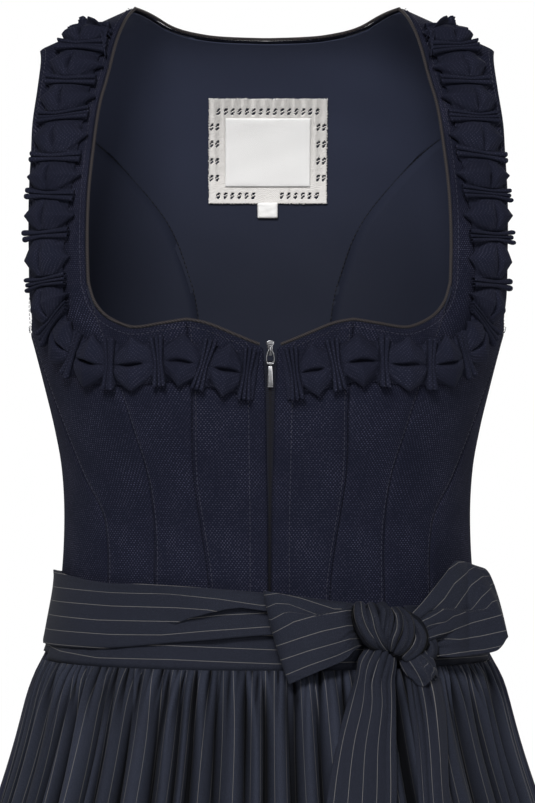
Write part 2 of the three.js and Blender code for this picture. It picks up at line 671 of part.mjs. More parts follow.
// Front zip: a tape behind each centre front, the coil between them, the slider and its pull
for (const { side, place } of SIDES) {
  const tapePoint = (i, j, face) => {
    return bodyPoint(centrePanel(i / FRONT_COLUMNS, j / PANEL_ROWS), -SEAM_GAP - ZIP.tapeCloth * (1 - face));
  };
  addPiece(`zip_tape_${side}`, wall(1, PANEL_ROWS, place(tapePoint)), materials.zipTape);
}
const coilPoint = (i, j, face) => {
  const beside = centrePanel(0, (ZIP.coilTop * j) / PANEL_ROWS);
  const point = bodyPoint(beside, ZIP.coilLift - ZIP.coilDepth * (1 - face));
  point.x = (point.x - 2 * SEAM_GAP) * (2 * i - 1);
  return point;
};
addPiece("zip_coil", wall(1, PANEL_ROWS, coilPoint), materials.zipTape);

const zipFace = bodyPoint(spot({ z: PULL.pivotZ, x: 0.01 }), CLOTH).y; // the bodice's front at the slider
const sliderFront = zipFace + SLIDER.behindCloth - SLIDER.depth;
const pivotY = sliderFront - (BRIDGE.reach - BRIDGE.wall) / 2;

function uprightPlate(shape, backY, depth) {
  const plate = new THREE.ExtrudeGeometry(shape, { depth, bevelEnabled: false, curveSegments: 5 });
  plate.rotateX(Math.PI / 2); // the outline's y becomes z, and its depth runs to the front
  plate.translate(0, backY, 0);
  return plate;
}

function toSolid(geometry) {
  const bare = geometry.clone();
  bare.deleteAttribute("normal");
  bare.deleteAttribute("uv");
  const merged = mergeVertices(bare, 1e-4);
  const mesh = new wasm.Mesh({
    numProp: 3,
    vertProperties: new Float32Array(merged.attributes.position.array),
    triVerts: new Uint32Array(merged.index.array),
  });
  return new wasm.Manifold(mesh);
}

function toGeometry(solid) {
  const { vertProperties, triVerts } = solid.getMesh();
  const geometry = new THREE.BufferGeometry();
  geometry.setAttribute("position", new THREE.Float32BufferAttribute(vertProperties, 3));
  geometry.setIndex(Array.from(triVerts));
  return geometry;
}

const sliderShape = new THREE.Shape();
sliderShape.moveTo(-SLIDER.halfWidth * 0.62, SLIDER.bottom);
sliderShape.lineTo(SLIDER.halfWidth * 0.62, SLIDER.bottom);
sliderShape.lineTo(SLIDER.halfWidth, SLIDER.top - 2.5);
sliderShape.quadraticCurveTo(SLIDER.halfWidth, SLIDER.top, 0, SLIDER.top);
sliderShape.quadraticCurveTo(-SLIDER.halfWidth, SLIDER.top, -SLIDER.halfWidth, SLIDER.top - 2.5);
const sliderBody = uprightPlate(sliderShape, zipFace + SLIDER.behindCloth, SLIDER.depth);
const eyeDepth = BRIDGE.reach + 0.5; // sunk into the slider so that the two are one casting
const eye = new THREE.BoxGeometry(2 * BRIDGE.halfWidth, eyeDepth, BRIDGE.height);
eye.translate(0, sliderFront + 0.5 - eyeDepth / 2, PULL.pivotZ);
const holeHeight = BRIDGE.height - 2 * BRIDGE.wall;
const eyeHole = new THREE.BoxGeometry(4 * BRIDGE.halfWidth, BRIDGE.reach - BRIDGE.wall, holeHeight);
eyeHole.translate(0, pivotY, PULL.pivotZ);
const slider = toSolid(sliderBody).add(toSolid(eye)).subtract(toSolid(eyeHole));
addPiece("zip_slider", toGeometry(slider), materials.zipMetal);

// The pull: a wire link through the slider's eye with a slim tab below it
const linkTop = PULL.pivotZ + PULL.wire / 2;
const linkFoot = linkTop - PULL.linkLength;
const pullShape = new THREE.Shape();
pullShape.moveTo(-PULL_TAB.halfWidthFoot, PULL_TAB.foot + 1);
pullShape.quadraticCurveTo(0, PULL_TAB.foot - 1, PULL_TAB.halfWidthFoot, PULL_TAB.foot + 1);
pullShape.lineTo(PULL_TAB.halfWidthTop, linkFoot);
pullShape.quadraticCurveTo(PULL.halfWidth, linkFoot + 1, PULL.halfWidth, linkFoot + 3);
pullShape.lineTo(PULL.halfWidth, linkTop - 1);
pullShape.quadraticCurveTo(PULL.halfWidth, linkTop, PULL.halfWidth - 1, linkTop);
pullShape.lineTo(1 - PULL.halfWidth, linkTop);
pullShape.quadraticCurveTo(-PULL.halfWidth, linkTop, -PULL.halfWidth, linkTop - 1);
pullShape.lineTo(-PULL.halfWidth, linkFoot + 3);
pullShape.quadraticCurveTo(-PULL.halfWidth, linkFoot + 1, -PULL_TAB.halfWidthTop, linkFoot);
const holeX = PULL.halfWidth - PULL.wire;
const linkHole = new THREE.Path();
linkHole.moveTo(-holeX, linkTop - PULL.wire);
linkHole.lineTo(holeX, linkTop - PULL.wire);
linkHole.lineTo(holeX, linkFoot + 3);
linkHole.quadraticCurveTo(0, linkFoot + 0.6, -holeX, linkFoot + 3);
pullShape.holes.push(linkHole);
addPiece("zip_pull", uprightPlate(pullShape, pivotY + PULL.wire / 2, PULL.wire), materials.zipMetal);

// A cross-section of a table at a height, moved out level by a lift
function readAtHeight(rows, z) {
  return readRows(rows, findLevel((l) => readRows(rows, l).z, z, 0, rows.length - 1));
}
function ringPoint(row, angle, lift) {
  const here = sectionPoint(row, angle);
  const along = sectionPoint(row, angle + 0.01).sub(sectionPoint(row, angle - 0.01)).normalize();
  return new THREE.Vector3(here.x + along.y * lift, here.y - along.x * lift, here.z);
}

// The skirt and the apron: gathers that are small under the waist and grow down to the hem, uneven in
// spacing and depth. A fold's place is read by its count from the piece's left edge.
function gatherAngles(fromDegrees, toDegrees, folds, stepsPerFold) {
  const steps = folds * stepsPerFold;
  return Array.from({ length: steps + 1 }, (_, k) => {
    const share = k / steps;
    const uneven = 0.28 * Math.sin(share * 19) + 0.1 * Math.sin(share * 53 + 1);
    return mix(fromDegrees, toDegrees, share + (uneven * Math.sin(Math.PI * share)) / folds);
  });
}
function gatherDepth(k, stepsPerFold, height) {
  const fold = Math.floor(k / stepsPerFold);
  const strength = 0.72 + 0.2 * Math.sin(fold * 2.4) + 0.16 * Math.sin(fold * 4.1 + height / 130);
  return strength * (0.5 - 0.5 * Math.cos((2 * Math.PI * k) / stepsPerFold));
}
const FOLD_STEPS = 4;
const SKIRT_TOP = WAIST_Z - 0.6;
const skirtHeights = (bottom, top) => [bottom, -770, -590, -490, -440, -417, top];
function gatheredWall(angles, heights, lift, foldOf) {
  return wall(angles.length - 1, heights.length - 1, (i, j, face) => {
    const angle = radians(angles[i]);
    const row = readAtHeight(SKIRT_ROWS, heights[j]);
    const point = ringPoint(row, angle, lift(row) + foldOf(row, i) + face * CLOTH);
    point.z -= waistDip(angle) * smooth(-560, WAIST_Z, row.z);
    return point;
  });
}
const SKIRT_SEAM_DEG = APRON_SIDE_DEG + 3;
const SKIRT_SEAM_GAP = 0.08; // half of it, in degrees
const skirtLevels = skirtHeights(HEM_Z, SKIRT_TOP);
function addSkirtPanel(name, angles, from, to, foldOf) {
  const cut = angles.slice(from, to + 1);
  cut[0] += SKIRT_SEAM_GAP;
  cut[cut.length - 1] -= SKIRT_SEAM_GAP;
  const panelFold = (row, i) => foldOf(row, i + from);
  addPiece(name, gatheredWall(cut, skirtLevels, () => 0, panelFold), materials.skirt);
}
const frontAngles = gatherAngles(-SKIRT_SEAM_DEG, SKIRT_SEAM_DEG, HIDDEN_FOLDS, 2);
const hiddenFold = (row, i) => (i % 2) * Math.min(HIDDEN_FOLD, row.fold);
addSkirtPanel("skirt_front_left", frontAngles, 0, HIDDEN_FOLDS, hiddenFold);
addSkirtPanel("skirt_front_right", frontAngles, HIDDEN_FOLDS, 2 * HIDDEN_FOLDS, hiddenFold);
const backAngles = gatherAngles(SKIRT_SEAM_DEG, 360 - SKIRT_SEAM_DEG, SKIRT_FOLDS, FOLD_STEPS);
const openFold = (row, i) => row.fold * gatherDepth(i, FOLD_STEPS, row.z);
const backCuts = [0, 6, 11, 16, SKIRT_FOLDS].map((fold) => fold * FOLD_STEPS);
["skirt_side_right", "skirt_back_right", "skirt_back_left", "skirt_side_left"].forEach((name, k) => {
  addSkirtPanel(name, backAngles, backCuts[k], backCuts[k + 1], openFold);
});
const apronAngles = gatherAngles(-APRON_SIDE_DEG, APRON_SIDE_DEG, APRON_FOLDS, FOLD_STEPS);
const apronLift = (row) => SEAM_GAP + CLOTH + Math.min(HIDDEN_FOLD, row.fold);
addPiece(
  "apron",
  gatheredWall(apronAngles, skirtHeights(APRON_HEM_Z, null).slice(0, -1), apronLift, (row, i) => {
    return Math.max(row.fold - HIDDEN_FOLD, 0) * gatherDepth(i, FOLD_STEPS, row.z);
  }),
  materials.apron,
);

// The apron's waistband, and the ties' two wraps round the waist
function bandPoint(angle, z, lift) {
  const dip = waistDip(angle) * (1 - smooth(-412, -396, z));
  const point = ringPoint(readAtHeight(BAND_ROWS, z + dip), angle, lift);
  point.z = z;
  return point;
}
function bandWall(columns, rows, fromDegrees, toDegrees, lift, edges) {
  return wall(columns, rows, (i, j, face) => {
    const degrees = mix(fromDegrees, toDegrees, i / columns);
    const { top, bottom } = edges(degrees);
    return bandPoint(radians(degrees), mix(bottom, top, j / rows), lift + face * CLOTH);
  });
}
const bandEdges = (degrees) => ({ top: BAND_TOP, bottom: BAND_BOTTOM - waistDip(radians(degrees)) });
const wrapEdges = () => ({ top: -370, bottom: -412 });
function tieEdges(degrees) {
  const level = findLevel((l) => readRows(TIE_EDGES, l).degrees, degrees, 0, TIE_EDGES.length - 1);
  return readRows(TIE_EDGES, level);
}
addPiece("apron_waistband", bandWall(24, 2, -APRON_SIDE_DEG, APRON_SIDE_DEG, 0, bandEdges), materials.apron);
const firstWrap = bandWall(26, 2, APRON_SIDE_DEG + 0.2, 360 - APRON_SIDE_DEG - 0.2, 0, wrapEdges);
addPiece("tie_first_wrap", firstWrap, materials.apron);
addPiece("tie_second_wrap", bandWall(52, 2, TIE_START_DEG, TIE_END_DEG, TIE_LIFT, tieEdges), materials.apron);

// How far forward the outermost layer of the waist and of the apron reaches at a point seen from the front
function frontLayer(x, z, lift) {
  const overBand = readAtHeight(BAND_ROWS, z);
  const overApron = readAtHeight(SKIRT_ROWS, z);
  const blend = smooth(-436, -418, z);
  const apronStack = CLOTH + apronLift(overApron) + Math.max(overApron.fold - HIDDEN_FOLD, 0);
  const stack = mix(apronStack, TIE_LIFT + CLOTH, blend) + lift;
  const halfWidth = mix(overApron.halfWidth, overBand.halfWidth, blend) + stack;
  const front = mix(overApron.front, overBand.front, blend) + stack;
  const across = Math.min(Math.abs(x), LOOP_REACH_X) / halfWidth;
  return -front * (1 - across ** SECTION_POWER) ** (1 / SECTION_POWER);
}

// The knot: rings of cloth along a line that slants down, its folds raised as ridges round the roll
const KNOT_SIDES = 12;
const knotClearance = SEAM_GAP + 0.4;
function knotGeometry(grow) {
  const stations = 10;
  const ring = (i) => {
    const row = readRows(KNOT, (i / stations) * (KNOT.length - 1));
    const behind = row.radius * KNOT_FLATTEN + KNOT_STANDOFF;
    return { row, centre: new THREE.Vector3(row.x, frontLayer(row.x, row.z, 0) - behind, row.z) };
  };
  const positions = [];
  for (let i = 0; i <= stations; i++) {
    const { row, centre } = ring(i);
    const along = ring(Math.min(i + 1, stations)).centre.sub(ring(Math.max(i - 1, 0)).centre).normalize();
    const outward = new THREE.Vector3(0.35, -1, 0).cross(along).cross(along).negate().normalize();
    const upward = along.clone().cross(outward).normalize();
    for (let k = 0; k < KNOT_SIDES; k++) {
      const turned = radians((360 * k) / KNOT_SIDES);
      const ridge = 1 + 0.07 * Math.cos(3 * turned + i * 0.9);
      const radius = row.radius * ridge + grow;
      const point = centre.clone().addScaledVector(outward, radius * KNOT_FLATTEN * Math.cos(turned));
      positions.push(...point.addScaledVector(upward, radius * Math.sin(turned)).toArray());
    }
  }
  const at = (i, k) => i * KNOT_SIDES + (k % KNOT_SIDES);
  const triangles = [];
  for (let i = 0; i < stations; i++)
    for (let k = 0; k < KNOT_SIDES; k++) {
      triangles.push(at(i, k), at(i, k + 1), at(i + 1, k + 1), at(i, k), at(i + 1, k + 1), at(i + 1, k));
    }
  for (let k = 1; k < KNOT_SIDES - 1; k++) {
    triangles.push(at(0, 0), at(0, k + 1), at(0, k));
    triangles.push(at(stations, 0), at(stations, k), at(stations, k + 1));
  }
  return facingOut(positions, triangles);
}
addPiece("bow_knot", knotGeometry(0), materials.apron);
const knotRoom = toSolid(knotGeometry(knotClearance));

// What goes into the knot ends at its surface: the largest part outside the knot is kept
function endAtKnot(geometry) {
  const parts = toSolid(geometry).subtract(knotRoom).decompose();
  parts.sort((a, b) => b.volume() - a.volume());
  return toGeometry(parts[0]);
}

// A bow loop: one strip of cloth that runs out from the knot, folds over and comes back in front
function loopGeometry(rows) {
  const last = rows.length - 1;
  const strip = (i, j, face) => {
    const level = Math.min(i, 2 * last - i);
    const row = rows[level];
    const share = j / 4;
    const x = mix(row.bottomX, row.topX, share);
    const z = mix(row.bottomZ, row.topZ, share);
    const layer = i < last ? row.inner : row.outer;
    const thickness = i < last ? 1 - face : face;
    const belly = 2.2 * Math.sin(Math.PI * share) * (i > last ? 1 : 0);
    const y = frontLayer(x, z, layer + belly + (i === last ? 0 : thickness * CLOTH));
    const tip = i === last ? CLOTH * (face ? 1 : 0) * Math.sign(row.topX - rows[0].topX) : 0;
    return new THREE.Vector3(x + tip, y, z);
  };
  return wall(2 * last, 4, strip);
}
addPiece("bow_loop_left", endAtKnot(loopGeometry(LEFT_LOOP)), materials.apron);
addPiece("bow_loop_right", endAtKnot(loopGeometry(RIGHT_LOOP)), materials.apron);

// The tails, each a strip with two soft folds down its length
function tailGeometry(rows, slantSide) {
  const columns = 6;
  const steps = 2 * (rows.length - 1);
  return wall(columns, steps, (i, j, face) => {
    const row = readRows(rows, rows.length - 1 - j / 2);
    const across = i / columns;
    const x = mix(row.left, row.right, across);
    const cutLower = TAIL_SLANT * (slantSide > 0 ? across : 1 - across) * smooth(-600, -770, row.z);
    const wave = 2.2 * (1 - Math.cos(across * 4 * Math.PI + row.z / 90)) * smooth(-412, -450, row.z);
    const z = row.z - cutLower;
    return new THREE.Vector3(x, frontLayer(x, z, row.lift + wave + face * CLOTH), z);
  });
}
addPiece("tie_tail_left", endAtKnot(tailGeometry(LEFT_TAIL, -1)), materials.apron);
addPiece("tie_tail_right", endAtKnot(tailGeometry(RIGHT_TAIL, 1)), materials.apron);

export default dirndl;
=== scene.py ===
import math
import random

import bmesh
import bpy
import numpy as np
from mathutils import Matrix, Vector


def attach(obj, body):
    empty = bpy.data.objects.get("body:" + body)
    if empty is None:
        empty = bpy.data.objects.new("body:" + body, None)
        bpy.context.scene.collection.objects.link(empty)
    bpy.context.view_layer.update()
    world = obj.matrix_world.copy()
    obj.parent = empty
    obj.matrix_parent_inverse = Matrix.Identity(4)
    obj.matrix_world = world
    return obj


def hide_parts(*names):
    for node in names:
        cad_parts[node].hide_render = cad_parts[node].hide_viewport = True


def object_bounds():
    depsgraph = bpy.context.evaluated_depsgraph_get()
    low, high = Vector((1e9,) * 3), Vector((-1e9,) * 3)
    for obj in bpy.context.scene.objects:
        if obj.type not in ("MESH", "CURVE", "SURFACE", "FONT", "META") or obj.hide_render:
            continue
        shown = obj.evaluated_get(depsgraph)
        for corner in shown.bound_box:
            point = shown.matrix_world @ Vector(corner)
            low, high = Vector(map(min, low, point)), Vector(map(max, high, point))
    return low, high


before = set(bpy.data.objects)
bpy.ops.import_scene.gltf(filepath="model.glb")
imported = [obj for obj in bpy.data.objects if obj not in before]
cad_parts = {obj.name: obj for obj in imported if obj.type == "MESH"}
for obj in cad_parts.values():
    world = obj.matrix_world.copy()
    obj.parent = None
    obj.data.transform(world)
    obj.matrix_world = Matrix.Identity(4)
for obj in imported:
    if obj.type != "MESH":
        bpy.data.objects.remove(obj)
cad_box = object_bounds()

MM = 0.001
bpy.ops.object.select_all(action="DESELECT")

# Camera: level with the middle of the photographed part of the dress, far off with a long lens, so that the
# dress shows as flat as in the photograph. It stands a degree to the viewer's left of the zip.
PHOTO_HEIGHT = 803
PIXEL = 0.64  # millimetres of dress a pixel
PHOTO_SCALE = PIXEL * MM
ZIP_COLUMN = 268  # the photograph's column of the zip
CAMERA_AWAY = 5.0
CAMERA_TURN = math.radians(1.0)
SHOULDER_ROW = 8  # the photograph's row of the shoulder line
photo_middle = Vector((-0.0003, -0.03, (SHOULDER_ROW - PHOTO_HEIGHT / 2) * PHOTO_SCALE))
bpy.ops.object.camera_add(
    location=photo_middle + Vector((-math.sin(CAMERA_TURN), -math.cos(CAMERA_TURN), 0)) * CAMERA_AWAY,
    rotation=(math.pi / 2, 0, -CAMERA_TURN),
)
camera = bpy.context.object
camera.data.sensor_fit = "VERTICAL"
camera.data.sensor_height = 36
camera.data.lens = 36 * CAMERA_AWAY / (PHOTO_HEIGHT * PHOTO_SCALE)
camera.data.clip_end = 60
bpy.context.scene.camera = camera

# Studio: a plain pale floor below the hem, white air all round, and five broad soft lamps: the main one in
# front above the camera, a weaker one low at the right, one on each side behind the dress, and one straight
# behind it. Nothing here belongs to the dress.
FLOOR_BELOW_HEM, FLOOR_RADIUS, FLOOR_PALE = 0.12, 2.4, (0.86, 0.86, 0.86, 1)
AIR_STRENGTH = 0.12
LAMPS = (  # place in metres, size in metres, watts
    ((-0.65, -3.6, 2.2), 1.3, 195), ((1.2, -4.1, 0.4), 1.2, 40), ((-2.6, 1.3, 0.4), 1.2, 26),
    ((2.6, 1.2, 0.4), 1.2, 26), ((0.3, 3.4, 1.6), 1.8, 90),
)
bpy.ops.mesh.primitive_circle_add(
    vertices=96, radius=FLOOR_RADIUS, fill_type="NGON", location=(0, 0, cad_box[0][2] - FLOOR_BELOW_HEM))
floor = bpy.context.object
floor.name = "studio_floor"
floor_paint = bpy.data.materials.new("pale_floor")
floor_paint.use_nodes = True
floor_shader = floor_paint.node_tree.nodes["Principled BSDF"].inputs
floor_shader["Base Color"].default_value, floor_shader["Roughness"].default_value = FLOOR_PALE, 0.9
floor.data.materials.append(floor_paint)
world = bpy.data.worlds.new("studio")
world.use_nodes = True
air = world.node_tree
air_light = air.nodes["Background"]
air_light.inputs["Color"].default_value = (1, 1, 1, 1)
air_light.inputs["Strength"].default_value = AIR_STRENGTH
air_seen = air.nodes.new("ShaderNodeBackground")
air_seen.inputs["Color"].default_value = (1, 1, 1, 1)
air_choice = air.nodes.new("ShaderNodeMixShader")
air.links.new(air.nodes.new("ShaderNodeLightPath").outputs["Is Camera Ray"], air_choice.inputs["Fac"])
air.links.new(air_light.outputs[0], air_choice.inputs[1])
air.links.new(air_seen.outputs[0], air_choice.inputs[2])
air.links.new(air_choice.outputs[0], air.nodes["World Output"].inputs["Surface"])
bpy.context.scene.world = world
bpy.context.scene.view_settings.view_transform = "Standard"
for lamp_place, lamp_size, lamp_watts in LAMPS:
    bpy.ops.object.light_add(type="AREA", location=lamp_place)
    lamp = bpy.context.object
    lamp.data.size = lamp_size
    lamp.data.energy = lamp_watts
    lamp.rotation_euler = (Vector((0, 0, -0.3)) - Vector(lamp_place)).to_track_quat("-Z", "Y").to_euler()

# Bodice: eleven curved panels of navy cloth with pale pin dots, cut to the body and sewn edge to edge, each
# seam topstitched on the side towards the middle. The body's form is a table of cross-sections, in
# millimetres, and a panel is laid between the edges that its pattern piece has.
CLOTH = 1.6
SECTION_POWER = 2.3
NECK_POINT_X, SHOULDER_TIP_X, SHOULDER_DROP = 86, 146, 27
WAIST_Z, FRONT_DIP = -404, 5.5
BODY_ROWS = np.array([  # height, half width, depth to the front, depth to the back
    (-420, 143, 100, 93), (-404, 137, 96, 88), (-366, 131, 92, 83), (-328, 129, 94, 81),
    (-296, 130.5, 100, 84), (-270, 135, 106, 88), (-245, 141, 110, 92), (-218, 148, 109, 97),
    (-185, 157, 103, 100), (-145, 165, 93, 102), (-105, 169, 79, 99), (-65, 168, 60, 86),
    (-28, 163, 38, 62), (-8, 160, 20, 34), (0, 160, 0, 0),
], float)
TOP_LEVEL = len(BODY_ROWS) - 1
BUST_X, BUST_Z, BUST_SPREAD_X, BUST_SPREAD_Z, BUST_RISE = 70, -250, 36, 42, 8


def read_rows(rows, level):
    """Smooth reading of a table of rows at levels between them."""
    level = np.clip(np.asarray(level, float), 0, len(rows) - 1)
    i = np.minimum(level.astype(int), len(rows) - 2)
    f = (level - i).reshape(level.shape + (1,) * (rows.ndim - 1))
    a, b = rows[np.maximum(i - 1, 0)], rows[i]
    c, d = rows[i + 1], rows[np.minimum(i + 2, len(rows) - 1)]
    return b + 0.5 * f * (c - a + f * (2 * a - 5 * b + 4 * c - d + f * (3 * (b - c) + d - a)))


def smooth(low, high, v):
    share = np.clip((np.asarray(v, float) - low) / (high - low), 0, 1)
    return share * share * (3 - 2 * share)


def section_point(row, angle):
    power = 2 / SECTION_POWER
    across = np.sign(np.sin(angle)) * np.abs(np.sin(angle)) ** power
    front = np.sign(np.cos(angle)) * np.abs(np.cos(angle)) ** power
    depth = np.where(np.cos(angle) > 0, row[..., 2], row[..., 3])
    return np.stack([row[..., 1] * across, -depth * front, row[..., 0]], axis=-1)


def shoulder_drop(x, row_z):
    along = (np.abs(x) - NECK_POINT_X) / (SHOULDER_TIP_X - NECK_POINT_X)
    return SHOULDER_DROP * np.maximum(0, along) * smooth(-130, 0, row_z)


def body_surface(angle, level):
    angle = np.asarray(angle, float)
    point = section_point(read_rows(BODY_ROWS, level), angle)
    across = (np.abs(point[..., 0]) - BUST_X) / BUST_SPREAD_X
    down = (point[..., 2] - BUST_Z) / BUST_SPREAD_Z
    point[..., 1] -= np.where(np.cos(angle) > 0, BUST_RISE * np.exp(-0.5 * (across**2 + down**2)), 0)
    point[..., 2] -= shoulder_drop(point[..., 0], point[..., 2])
    return point


def run_along(points, axis=0):
    """The length from the start to each point of a line, or along one direction of a grid."""
    steps = np.linalg.norm(np.diff(points, axis=axis), axis=-1)
    return np.cumsum(np.insert(steps, 0, 0, axis=axis), axis=axis)


def body_tangents(angle, level):
    turn, climb = 0.004, 0.02
    low, high = np.maximum(level - climb, 0), np.minimum(level + climb, TOP_LEVEL)
    around = (body_surface(angle + turn, level) - body_surface(angle - turn, level)) / (2 * turn)
    up = (body_surface(angle, high) - body_surface(angle, low)) / np.asarray(high - low)[..., None]
    return around, up


def unit(v):
    return v / np.maximum(np.linalg.norm(v, axis=-1, keepdims=True), 1e-9)


def body_outward(angle, level):
    around, up = body_tangents(angle, level)
    return unit(np.cross(around, up))


def body_point(angle, level, lift):
    angle, level = np.asarray(angle, float), np.asarray(level, float)
    return body_surface(angle, level) + body_outward(angle, level) * np.asarray(lift, float)[..., None]


def level_where(height_at, z, low, high):
    rising = height_at(high) > height_at(low)
    for _ in range(40):
        middle = (low + high) / 2
        if (height_at(middle) < z) == rising:
            low = middle
        else:
            high = middle
    return (low + high) / 2


def spot(z, x=None, degrees=None, behind=False):
    """Angle and level of a place given by its height and its distance from the middle, or its angle."""
    if degrees is not None:
        angle = math.radians(degrees)
        return angle, level_where(lambda at: body_surface(angle, at)[2], z, 0, TOP_LEVEL)

    def height_at(at):
        row_z = read_rows(BODY_ROWS, at)[0]
        return row_z - shoulder_drop(x, row_z)

    level = level_where(height_at, z, 0, TOP_LEVEL)
    share = min(abs(x) / read_rows(BODY_ROWS, level)[1], 1)
    turned = math.asin(share ** (SECTION_POWER / 2)) * (-1 if x < 0 else 1)
    return (math.pi - turned if behind else turned), level


def spots(*places, behind=False):
    return [spot(z, x, behind=behind) for z, x in places]


LEVEL_SCALE = 0.25


def edge(corner_spots):
    """A smooth line through spots, read by its share from 0 to 1."""
    corners = np.array(corner_spots, float) * (1, LEVEL_SCALE)
    fine = read_rows(corners, np.linspace(0, len(corners) - 1, 40 * len(corners)))
    run = run_along(fine)

    def read(share):
        at = np.clip(share, 0, 1) * run[-1]
        return np.interp(at, run, fine[:, 0]), np.interp(at, run, fine[:, 1]) / LEVEL_SCALE

    return read


def chain(*parts):
    """Edges end to end, each with its number of steps."""
    total = sum(steps for _, steps in parts)

    def read(share):
        share = np.atleast_1d(np.asarray(share, float)) * total
        angle, level, start = np.zeros(share.shape), np.zeros(share.shape), 0
        for line, steps in parts:
            here = share >= start - 1e-9
            a, b = line(np.clip((share - start) / steps, 0, 1))
            angle, level = np.where(here, a, angle), np.where(here, b, level)
            start += steps
        return angle, level

    return read


def waist_dip(angle):
    return FRONT_DIP * np.maximum(0, np.cos(angle)) ** 1.2


def waist_spot(degrees):
    angle = math.radians(degrees)
    return angle, level_where(lambda at: body_surface(angle, at)[2], WAIST_Z - waist_dip(angle), 0, 6)


def waist_edge(first, last):
    fine = [waist_spot(math.degrees(first + (last - first) * k / 24)) for k in range(25)]
    angles, levels = np.array(fine).T
    return lambda share: (
        np.interp(share, np.linspace(0, 1, 25), angles), np.interp(share, np.linspace(0, 1, 25), levels))


def turned_round(line):
    return lambda share: line(1 - np.asarray(share, float))


def past_middle(line):
    def read(share):
        angle, level = line(share)
        return 2 * math.pi - angle, level

    return read


def shoulder_edge(behind):
    def read(share):
        x = NECK_POINT_X + (SHOULDER_TIP_X - NECK_POINT_X) * np.asarray(share, float)
        angle = np.arcsin((x / BODY_ROWS[-1][1]) ** (SECTION_POWER / 2))
        return (math.pi - angle if behind else angle), np.full(x.shape, float(TOP_LEVEL))

    return read


neck_front = edge(spots((-218.3, 4.4), (-210.2, 24.8), (-204, 40.3), (-201.5, 52.7)))
neck_side = edge(spots((-201.5, 52.7), (-204, 68.1), (-206.4, 83.7), (-204.6, 93), (-198.3, 104.3), (-189, 111.7),
                       (-176.5, 115.6)))
neck_strap = edge(spots((-176.5, 115.6), (-157.8, 116.3), (-126.4, 116), (-94.7, 113.2), (-62.5, 108.7),
                        (-43, 103.4), (-15.9, 96), (0, NECK_POINT_X)))
centre_front = edge(spots((WAIST_Z - FRONT_DIP, 0.8), (-330, 1.1), (-290, 1.9), (-251, 2.8), (-236, 3.4),
                          (-218.3, 4.4)))
front_seam = edge([waist_spot(13.5)] + spots((-369, 38.4), (-300.6, 48), (-249.8, 49.3), (-201.5, 52.7)))
princess_seam = edge([waist_spot(29.5)] + spots(
    (-364, 72.7), (-338.7, 72.5), (-312.6, 74.6), (-295.2, 77.7), (-268.5, 85.8), (-247.3, 92.2), (-215, 103),
    (-176.5, 115.6)))
side_front_seam = edge([waist_spot(47)] + spots(
    (-363, 102), (-339, 102.5), (-320.4, 106), (-297, 117.5), (-270, 128)) + [spot(-207, degrees=83)])
armhole_side = edge([spot(-207, degrees=83), spot(-211, degrees=91), spot(-205, degrees=100)])
armhole_front = edge([spot(-207, degrees=83), spot(-199, degrees=77)] + spots(
    (-187, 151.5), (-150, 152.5), (-100, 151.5), (-60, 148.5), (-SHOULDER_DROP, SHOULDER_TIP_X)))
armhole_back = edge([spot(-205, degrees=100), spot(-186, degrees=108)] + spots(
    (-150, 142), (-110, 139), (-68, 139.5), behind=True))
armhole_back_top = edge(spots((-68, 139.5), (-48, 142), (-SHOULDER_DROP, SHOULDER_TIP_X), behind=True))
side_back_seam = edge([waist_spot(98), spot(-330, degrees=97), spot(-260, degrees=98), spot(-205, degrees=100)])
back_princess = edge([waist_spot(166)] + spots(
    (-330, 37), (-260, 40), (-198.8, 43.6), (-165.5, 51.3), (-133.6, 64.8), (-103.7, 89), (-80, 115), (-68, 139.5),
    behind=True))
neck_back = edge([(math.pi - math.asin((NECK_POINT_X / 160) ** (SECTION_POWER / 2)), TOP_LEVEL)] + spots(
    (-9.5, 65.8), (-16.5, 40.2), (-18.7, 0), behind=True))


def patch(bottom, top, left, right, relaxing=0):
    """Grid of angles and levels of a panel between its four edges, its inner rows relaxed if asked."""

    def grid(columns, rows):
        p, q = np.linspace(0, 1, columns + 1), np.linspace(0, 1, rows + 1)
        sheet = []
        for k in (0, 1):
            lower, upper, start, end = (np.asarray(line(s)[k]) for line, s in (
                (bottom, p), (top, p), (left, q), (right, q)))
            sides = start[:, None] * (1 - p) + end[:, None] * p
            lower_bow = lower - (lower[0] * (1 - p) + lower[-1] * p)
            upper_bow = upper - (upper[0] * (1 - p) + upper[-1] * p)
            laid = sides + lower_bow * (1 - q[:, None]) ** 2 + upper_bow * q[:, None] ** 2
            for _ in range(relaxing):
                laid[1:-1, 1:-1] = (laid[:-2, 1:-1] + laid[2:, 1:-1] + laid[1:-1, :-2] + laid[1:-1, 2:]) / 4
            sheet.append(laid)
        return sheet

    return grid


PANEL_STEPS, STRAP_STEPS, YOKE_STEPS = 8, 7, 4
centre_piece = patch(waist_edge(centre_front(0)[0], front_seam(0)[0]), neck_front, centre_front, front_seam)
princess_piece = patch(waist_edge(front_seam(0)[0], princess_seam(0)[0]), neck_side, front_seam, princess_seam)
side_front_piece = patch(
    waist_edge(princess_seam(0)[0], side_front_seam(0)[0]), shoulder_edge(False),
    chain((princess_seam, PANEL_STEPS), (neck_strap, STRAP_STEPS)),
    chain((side_front_seam, PANEL_STEPS), (armhole_front, STRAP_STEPS)))
side_piece = patch(waist_edge(side_front_seam(0)[0], side_back_seam(0)[0]), armhole_side, side_front_seam,
                   side_back_seam)
side_back_piece = patch(waist_edge(side_back_seam(0)[0], back_princess(0)[0]), armhole_back, side_back_seam,
                        back_princess)
back_outer = chain((back_princess, PANEL_STEPS), (armhole_back_top, YOKE_STEPS))
